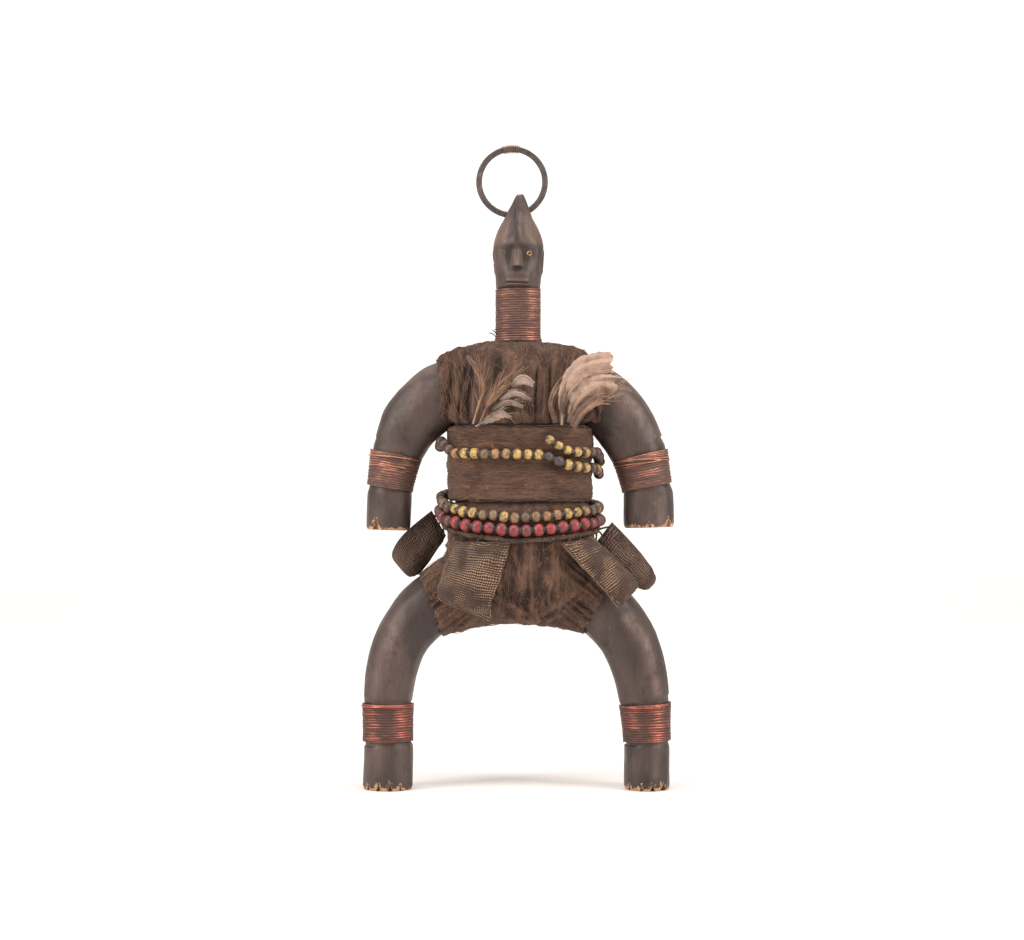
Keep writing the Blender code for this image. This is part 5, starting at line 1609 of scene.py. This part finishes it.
def make_pouch(name, material, seed, thick, seams, corner=0.2, waist=0.0, tuck=0.05, bulge=0.05):
    """A flat bag of woven cloth, stuffed: two sheets sewn together all round.

    corner is how far its lower corners are rounded, waist how much its top is drawn in, tuck how
    far its top goes up under the beads, bulge how far its sides belly out, and seams the edges with
    a piped seam: top, left, right or bottom.
    """
    corners = POUCHES[name]
    place = pouch_place(corners)
    width = place(1.0, 0.5) - place(0.0, 0.5)
    drop = place(0.5, 1.0) - place(0.5, 0.0)
    outward = np.cross(drop, width)
    outward /= np.linalg.norm(outward)
    long, wide = np.linalg.norm(drop), np.linalg.norm(width)
    rows, columns = POUCH_ROWS, POUCH_COLUMNS
    downs = np.linspace(0.0, 1.0, rows)
    acrosses = np.linspace(0.0, 1.0, columns)
    full = POUCH_THICKNESS / 2 * thick * 0.8
    middle, half, weave = [], [], []
    for down in downs:
        for across in acrosses:
            u, v = 2 * across - 1, 2 * down - 1
            low = max(v, 0.0)
            narrow = 1 - corner * low ** 5 * 0.22 - waist * max(-v, 0.0) ** 2 * 0.3 + bulge * (1 - v * v)
            shorter = 1 - corner * abs(u) ** 4 * 0.16 * low
            middle.append(place(0.5 + 0.5 * u * narrow, 0.5 + 0.5 * v * shorter - tuck * max(-v, 0.0) ** 3))
            pillow = (max(1 - u ** 6, 0.0) * max(1 - v ** 6, 0.0)) ** 0.5
            half.append(full * (0.10 + 0.90 * pillow) * (0.82 + 0.18 * v))
            weave.append((across * wide, down * long))
    middle, half, weave = np.array(middle), np.array(half), np.array(weave)
    open_share = (half / full)[:, None]
    creases = 0.75 * layers(middle, (6.0, 6.0, 10.0), seed, 3)[:, None]
    pull = 0.5 * (ridges(middle, (9.0, 9.0, 4.5), seed + 1)[:, None] - 0.6)
    front = middle + outward * (half[:, None] + (creases + pull) * open_share * 0.8)
    back = middle - outward * (half[:, None] - creases * open_share * 0.3)
    slack = 0.35 * layers(middle, 5.0, seed + 2, 2)[:, None]
    front, back = front + outward * slack * 0.5, back + outward * slack * 0.5
    count = rows * columns
    faces = []
    for r in range(rows - 1):
        for c in range(columns - 1):
            a, b = r * columns + c, r * columns + c + 1
            d, e = a + columns, b + columns
            faces += [(a, d, e, b), (count + a, count + b, count + e, count + d)]
    top, right, bottom, left = border(rows, columns)
    loop = top + right + bottom + left
    for i, j in zip(loop, loop[1:] + loop[:1]):
        faces.append((i, j, count + j, count + i))
    sewn = loop + [count + i for i in loop]
    points = settle(np.vstack([front, back]), faces, sewn)
    front, back = points[:count], points[count:]
    heap = Heap()
    # More tan on the crests of the creases as painted light, and in random worn patches and near the thin rim
    worn_and_highlit = 0.30 + 0.55 * noise3(front / 7.0, seed + 5) + 0.45 * (creases + pull)[:, 0]
    rim = 0.35 * smooth(half / full, 0.75, 0.25)
    heap.add(points, faces, np.clip(np.concatenate([worn_and_highlit + rim] * 2), 0, 1))
    uv = [weave, weave]
    edges = {"top": top, "right": top[-1:] + right, "bottom": right[-1:] + bottom,
             "left": bottom[-1:] + left + top[:1]}
    for seam in seams:
        index = edges[seam]
        path = curve(((front[index] + back[index]) / 2)[::3], 90)
        radius = 0.55 + 0.12 * np.sin(np.linspace(0, 60 * TAU / 2, 90))
        heap.tube(path, radius, 8, tone=0.95)
        length = np.linspace(0, 60, 90)
        uv.append(np.column_stack([np.tile(np.arange(8) * 0.4, 90), np.repeat(length, 8)]))
    for across in (columns // 5, columns // 2, columns - columns // 5):
        start = (front[across] + back[across]) / 2
        row = (np.array(corners[0]) + (np.array(corners[1]) - corners[0]) * across / columns)
        end = cord_point(row[0] + 4.0 * (across / columns - 0.5))
        middle = (start + end) / 2 + outward * 1.2
        path = curve([start - (end - start) * 0.08, middle, end], 16)
        heap.tube(path, 0.55 + 0.1 * np.sin(np.arange(16) * 2.1), 7, tone=0.2)
        uv.append(np.column_stack([np.tile(np.arange(7) * 0.4, 16), np.repeat(np.linspace(0, 9, 16), 7)]))
    piece = heap.object(name + "_woven")
    layer = piece.data.uv_layers.new(name="weave")
    index = np.empty(len(piece.data.loops), np.int32)
    piece.data.loops.foreach_get("vertex_index", index)
    layer.data.foreach_set("uv", np.vstack(uv)[index].astype(np.float32).ravel())
    finish(piece, "pouch_cloth", name, material=material)
    return piece


def make_pouches():
    tan, gap = (0.46, 0.29, 0.18), (0.020, 0.012, 0.009)
    # A lit copy of the weave for the front pouches and a darker copy for the side pouches, as painted shade
    bright = woven_material("lit_front_weave", tan, gap, light=0.85)
    dark = woven_material("shaded_side_weave", (0.29, 0.19, 0.135), gap, light=0.75, row=1.0, column=1.2)
    make_pouch("pouch_front_left", bright, 201, 0.85, ("left",), corner=0.15, waist=0.2)
    make_pouch("pouch_side_left", dark, 202, 1.35, ("left", "bottom"), corner=0.6, tuck=0.16, bulge=0.24)
    make_pouch("pouch_front_right", bright, 203, 0.95, ("left",), corner=0.35, waist=0.1)
    make_pouch("pouch_side_right", dark, 204, 1.3, ("right", "bottom"), corner=0.8, tuck=0.14, bulge=0.14)


# Feathers

def feather_line(stations, count=40):
    """The middle of a feather: x, y, height and half width along it."""
    front = float(TORSO[:, 3].max()) + GAP + CHEST_CLOTH
    return curve([(x, -front - before, z, half) for x, z, before, half in stations], count)


def sides_of(rows):
    """Directions along a feather and across it."""
    along = unit(np.gradient(rows[:, :3], axis=0))
    return along, unit(np.cross(along, [0.0, -1.0, 0.0]))


def strip(heap, rows, first, last, offset, half, tone, rng, crease=0.5, ragged=0.0, curl=0.0, out=0.0,
          ribs=0.0):
    """A stiff blade with a creased section, from share first to share last of the line.

    offset and half give how far it is to the side and its half width at a share of its length.
    ribs is the height of fine folds that run along it; their crests are painted lighter and the hollows
    between them darker, as painted light and shade.
    """
    steps, across_steps = (52, 33) if ribs else (26, 9)
    _, across = sides_of(rows)
    share = np.linspace(0, 1, steps)
    shift = rng.uniform(0, 50)
    nothing = np.zeros(across_steps)
    tears = noise3(np.column_stack([np.linspace(0, 6, across_steps) + shift, nothing, nothing]), 34)
    torn = 1 - ragged * (0.55 + 0.55 * tears)
    span = (first + (last - first) * share[:, None] * torn[None, :]) * (len(rows) - 1)
    line = np.stack([np.interp(span, np.arange(len(rows)), c) for c in rows.T], axis=-1)
    side = np.stack([np.interp(span, np.arange(len(rows)), c) for c in across.T], axis=-1)
    sway = np.array([offset(s) for s in share])
    width = np.array([half(s) for s in share])
    points, tones = [], []
    for k in range(steps):
        for j in range(across_steps):
            u = 2 * j / (across_steps - 1) - 1
            bend = crease * (1 - abs(u)) * width[k] * 0.55 + curl * width[k] * u * u
            wave = noise3([[u * 3.2 + shift, share[k] * 1.3, 0.0],
                           [u * 8.5 + shift, share[k] * 2.2, 5.0]], 33)
            corrugated = 0.10 * math.cos(u * 9.0 + shift) + ribs * (wave[0] + 0.6 * wave[1])
            notch = 0.35 * math.sin(share[k] * 31 + shift) + 0.25 * math.sin(share[k] * 67 + 2 * shift)
            edge = 1 + ragged * notch * abs(u)
            p = line[k, j, :3] + side[k, j] * (sway[k] + u * width[k] * edge)
            p = p + np.array([0.0, -bend - corrugated - out * math.sin(math.pi * share[k]), 0.0])
            points.append(p)
            dark_root = 0.9 * max(0.0, 0.5 - span[k, j] / (len(rows) - 1))
            # Painted light on the raised ribs and painted shade between them
            rib_light_and_shade = 0.20 * wave[0] if ribs else 0.0
            tones.append(tone + 0.22 * (1 - abs(u)) + rng.uniform(-0.05, 0.05) + rib_light_and_shade - dark_root)
    points = np.array(points)
    back = points + np.array([0.0, 0.16, 0.0])
    count = len(points)
    faces = []
    for k in range(steps - 1):
        for j in range(across_steps - 1):
            a, b = k * across_steps + j, k * across_steps + j + 1
            c, d = a + across_steps, b + across_steps
            faces += [(a, c, d, b), (count + a, count + b, count + d, count + c)]
    loop = [i for edge in border(steps, across_steps) for i in edge]
    faces += [(i, j, count + j, count + i) for i, j in zip(loop, loop[1:] + loop[:1])]
    heap.add(np.vstack([points, back]), faces, np.clip(np.tile(tones, 2), 0, 1))


def filaments(heap, rows, count, rng, first=0.15, last=1.0, side=0, spread=1.0, tone=0.6, size=0.16, fan=0.0):
    """Thin bare barbs that leave the quill and run outward; side is -1, 1 or 0 for both."""
    along, across = sides_of(rows)
    for k in range(count):
        share = first + (last - first) * (k + rng.uniform(0, 1)) / count
        index = min(int(share * (len(rows) - 1)), len(rows) - 2)
        root = rows[index, :3]
        turn = side if side else rng.choice((-1, 1))
        reach = rows[index, 3] * spread * rng.uniform(0.9, 1.5) + 1.2
        forward = 1.5 + fan + rng.uniform(-0.3, 0.5)
        steps = np.linspace(0, 1, 7)[:, None]
        line = root + across[index] * turn * reach * steps * (1 - 0.3 * steps)
        line = line + along[index] * forward * reach * steps
        bow = 0.3 + rng.uniform(0.0, 0.9) * np.sin(math.pi * steps * 0.8)
        line = line + np.array([0.0, -1.0, 0.0]) * bow
        its_tone = min(max(tone + rng.uniform(-0.25, 0.25), 0), 1)
        heap.tube(line, size * (1 - 0.55 * steps[:, 0]), 4, tone=its_tone)


def narrowing(width, share, power=1):
    """A half width that shrinks by a share towards the tip."""
    return lambda s: width * (1 - share * s ** power)


def swelling(root, swell, start, pace, most=0.9, power=1):
    """A half width that grows from its root and narrows again."""
    return lambda s: root + swell * math.sin(math.pi * min(start + pace * s, most)) ** power


def spreading(lean, root, pace):
    """A way to the side that opens towards the tip."""
    return lambda s: lean * (root + pace * s)


def quill(heap, rows, count, radius, thinner, sides, tone):
    heap.tube(rows[:count, :3], radius * (1 - thinner * np.linspace(0, 1, count)), sides, tone=tone)


def left_feathers(tan, grey, rng):
    heap, rows = Heap(), feather_line(FEATHERS["feather_left_quill"])
    quill(heap, rows, 30, 0.55, 0.5, 8, 0.75)
    strip(heap, rows, 0.0, 0.62, lambda s: 0.9 * s, narrowing(0.9, 0.7), 0.55, rng, crease=0.9)
    filaments(heap, rows, 26, rng, 0.30, 0.92, side=-1, spread=1.15, tone=0.55)
    filaments(heap, rows, 12, rng, 0.45, 0.97, side=1, spread=0.7, tone=0.45)
    finish_feather(heap, "feather_left_quill", tan)

    heap, rows = Heap(), feather_line(FEATHERS["feather_left_fan"])
    quill(heap, rows, 26, 0.4, 0.6, 7, 0.7)
    for k in range(5):
        lean = -1.0 + 0.5 * k
        strip(heap, rows, 0.25, rng.uniform(0.7, 0.95), lambda s, lean=lean: lean * rows[20, 3] * s * 0.9,
              narrowing(0.62, 0.55), rng.uniform(0.35, 0.75), rng, crease=1.0)
    filaments(heap, rows, 34, rng, 0.22, 0.85, tone=0.65, spread=0.9, fan=0.4)
    finish_feather(heap, "feather_left_fan", tan)

    heap, rows = Heap(), feather_line(FEATHERS["feather_left_curl"])
    quill(heap, rows, 34, 0.38, 0.5, 7, 0.8)
    for stations, half, tone in CURL_BANDS:
        def band(s, half=half):
            return half * (0.55 + 0.45 * math.sin(math.pi * min(max(s, 0.06), 0.94)))

        strip(heap, feather_line(stations), 0.0, 1.0, lambda s: 0.0, band, tone + 0.2, rng, crease=0.35,
              ragged=0.07, curl=0.3, ribs=0.42)
    filaments(heap, rows, 12, rng, 0.3, 0.95, tone=0.3, spread=0.6)
    finish_feather(heap, "feather_left_curl", grey)

    heap, rows = Heap(), feather_line(FEATHERS["feather_left_tuft"])
    quill(heap, rows, 36, 0.4, 0.5, 7, 0.9)
    strip(heap, rows, 0.18, 1.0, lambda s: 0.3,
          lambda s: 2.5 * math.sin(math.pi * min(s * 0.9 + 0.08, 0.96)) ** 0.7,
          0.55, rng, crease=0.3, ragged=0.25, curl=0.35)
    strip(heap, rows, 0.05, 0.7, lambda s: -1.4 * s, narrowing(0.8, 0.6), 0.2, rng, crease=0.9)
    filaments(heap, rows, 12, rng, 0.2, 0.9, tone=0.6, spread=0.7)
    finish_feather(heap, "feather_left_tuft", grey)


def right_feathers(tan, pale, rng):
    heap, rows = Heap(), feather_line(FEATHERS["feather_right_back"])
    for k in range(6):
        strip(heap, rows, 0.0, rng.uniform(0.75, 1.0), spreading((k - 2.5) * 0.62, 0.35, 1.0),
              narrowing(0.66, 0.6, 2), rng.uniform(0.1, 0.6), rng, crease=1.2, out=rng.uniform(0, 0.8))
    finish_feather(heap, "feather_right_back", tan)

    heap, rows = Heap(), feather_line(FEATHERS["feather_right_arch"])
    heap.tube(rows[:30, :3] + np.array([0, -0.6, 0]), 0.45, 7, tone=0.9)
    strip(heap, rows, 0.16, 1.0, lambda s: -0.8 * s, swelling(1.2, 5.2, 0.02, 0.62), 0.62, rng, crease=0.35,
          ragged=0.10, out=0.8, ribs=0.36)
    strip(heap, rows, 0.20, 0.98, lambda s: 1.2 + 3.4 * math.sin(math.pi * 0.55 * s), lambda s: 0.7, 0.9, rng,
          crease=0.9, out=1.3)
    for k in range(5):
        strip(heap, rows, 0.0, rng.uniform(0.45, 0.7), spreading((k - 2) * 0.85, 0.25, 1.2),
              narrowing(0.55, 0.4), rng.uniform(0.0, 0.45), rng, crease=1.2, out=rng.uniform(0.5, 1.5))
    finish_feather(heap, "feather_right_arch", pale)

    heap, rows = Heap(), feather_line(FEATHERS["feather_right_broad"])
    strip(heap, rows, 0.10, 1.0, lambda s: 1.0 * s, swelling(1.4, 5.2, 0.02, 0.66), 0.46, rng, crease=0.4,
          ragged=0.18, out=0.5, ribs=0.42)
    strip(heap, rows, 0.55, 1.0, lambda s: -3.2, swelling(0.0, 1.4, 0.1, 0.7), 0.8, rng, crease=0.9,
          ragged=0.5, out=1.8)
    for k in range(4):
        strip(heap, rows, 0.05, rng.uniform(0.7, 0.95), spreading((k - 1.5) * 2.0, 0.2, 1.0),
              narrowing(0.7, 0.5), rng.uniform(0.0, 0.5), rng, crease=1.0, out=rng.uniform(0.6, 1.4))
    filaments(heap, rows, 16, rng, 0.75, 1.0, tone=0.85, spread=0.6, size=0.13)
    finish_feather(heap, "feather_right_broad", pale)

    heap, rows = Heap(), feather_line(FEATHERS["feather_right_low"])
    for k in range(5):
        strip(heap, rows, 0.0, rng.uniform(0.8, 1.0), spreading((k - 2) * 1.15, 0.3, 0.9),
              narrowing(1.05, 0.5), rng.uniform(0.1, 0.6), rng, crease=0.9, ragged=0.15,
              out=rng.uniform(0, 0.9))
    filaments(heap, rows, 14, rng, 0.4, 1.0, tone=0.6, spread=0.9)
    finish_feather(heap, "feather_right_low", tan)


def finish_feather(heap, name, material):
    finish(heap.object(name + "_vane", smooth_angle=40), "feather", name, material=material)


def make_feathers():
    tan = feather_material("tan_feather", (0.40, 0.225, 0.135), (0.105, 0.052, 0.029), (0.18, 0.11, 0.08))
    pale = feather_material("pale_feather", (0.42, 0.275, 0.20), (0.125, 0.064, 0.038), (0.27, 0.185, 0.14))
    grey = feather_material("grey_feather", (0.36, 0.255, 0.205), (0.075, 0.044, 0.032), (0.17, 0.125, 0.11))
    rng = random.Random(311)
    left_feathers(tan, grey, rng)
    right_feathers(tan, pale, rng)


# Stage

def make_camera():
    scene = bpy.context.scene
    camera_data = bpy.data.cameras.new("camera")
    camera_data.sensor_width = SENSOR
    camera_data.lens = SENSOR * CAMERA_DISTANCE / VIEW_WIDTH
    camera_data.clip_start = 0.01
    camera_data.clip_end = 50
    camera = bpy.data.objects.new("camera", camera_data)
    camera.location = TARGET + Vector((0.0, -CAMERA_DISTANCE, 0.0))
    camera.rotation_euler = (math.pi / 2, 0.0, 0.0)
    scene.collection.objects.link(camera)
    scene.camera = camera


def make_backdrop():
    """A pale floor that bends up into a wall behind the doll."""
    turns = np.linspace(0, math.pi / 2, 13)
    bend = [(1.5 + 0.9 * math.sin(t), 0.9 - 0.9 * math.cos(t)) for t in turns]
    outline_points = [(-4.0, 0.0)] + bend + [(2.4, 5.0)]
    vertices = [(x, y, z) for y, z in outline_points for x in (-5.0, 5.0)]
    faces = [(2 * k, 2 * k + 1, 2 * k + 3, 2 * k + 2) for k in range(len(outline_points) - 1)]
    floor_mesh = bpy.data.meshes.new("floor")
    floor_mesh.from_pydata(vertices, [], faces)
    floor_mesh.shade_smooth()
    floor = bpy.data.objects.new("floor", floor_mesh)
    bpy.context.scene.collection.objects.link(floor)
    g = Graph("pale_floor")
    paint_of_floor = g.ramp(g.noise(60, 2), ((0.3, (0.83, 0.80, 0.77)), (0.7, (0.85, 0.82, 0.79))))
    floor_mesh.materials.append(g.finish(paint_of_floor, 0.7))


def make_lights():
    """Soft boxes on both sides and above, one for the wall, and a faint warm sky."""
    scene = bpy.context.scene
    world = bpy.data.worlds.new("studio")
    world.use_nodes = True
    back = world.node_tree.nodes["Background"]
    back.inputs["Color"].default_value = (1.0, 0.965, 0.94, 1.0)
    back.inputs["Strength"].default_value = 0.50
    scene.world = world

    def area(name, place, size, power, colour=(1, 1, 1), target=TARGET):
        data = bpy.data.lights.new(name, "AREA")
        data.shape = "RECTANGLE"
        data.size, data.size_y = size
        data.energy = power
        data.color = colour
        light = bpy.data.objects.new(name, data)
        light.location = place
        light.rotation_euler = (target - Vector(place)).to_track_quat("-Z", "Y").to_euler()
        scene.collection.objects.link(light)

    area("left_box", (-1.25, -0.75, 0.85), (0.6, 1.2), 20, (1.0, 0.96, 0.92))
    area("right_box", (1.25, -0.65, 0.75), (0.6, 1.2), 18, (1.0, 0.95, 0.91))
    area("top_box", (0.0, -0.4, 1.6), (1.0, 0.6), 12)
    area("wall_box", (0.0, 0.9, 2.2), (2.4, 0.5), 32, target=Vector((0.0, 2.4, 0.9)))
    scene.view_settings.view_transform = "Standard"


MATERIALS = {
    "copper": copper_material("wound_copper", (0.120, 0.064, 0.050), (0.60, 0.27, 0.175)),
    "dark_copper": copper_material("dark_wound_copper", (0.085, 0.042, 0.034), (0.52, 0.165, 0.115)),
}

make_camera()
make_backdrop()
make_lights()
wood = make_wood()
make_ring()
make_eyes()
make_wire()
wood_tree = tree_of(wood)
make_chest_cloth(wood_tree)
make_waist_band()
make_hip_cloth(wood_tree)
make_beads()
make_pouch_cord()
make_pouches()
make_feathers()
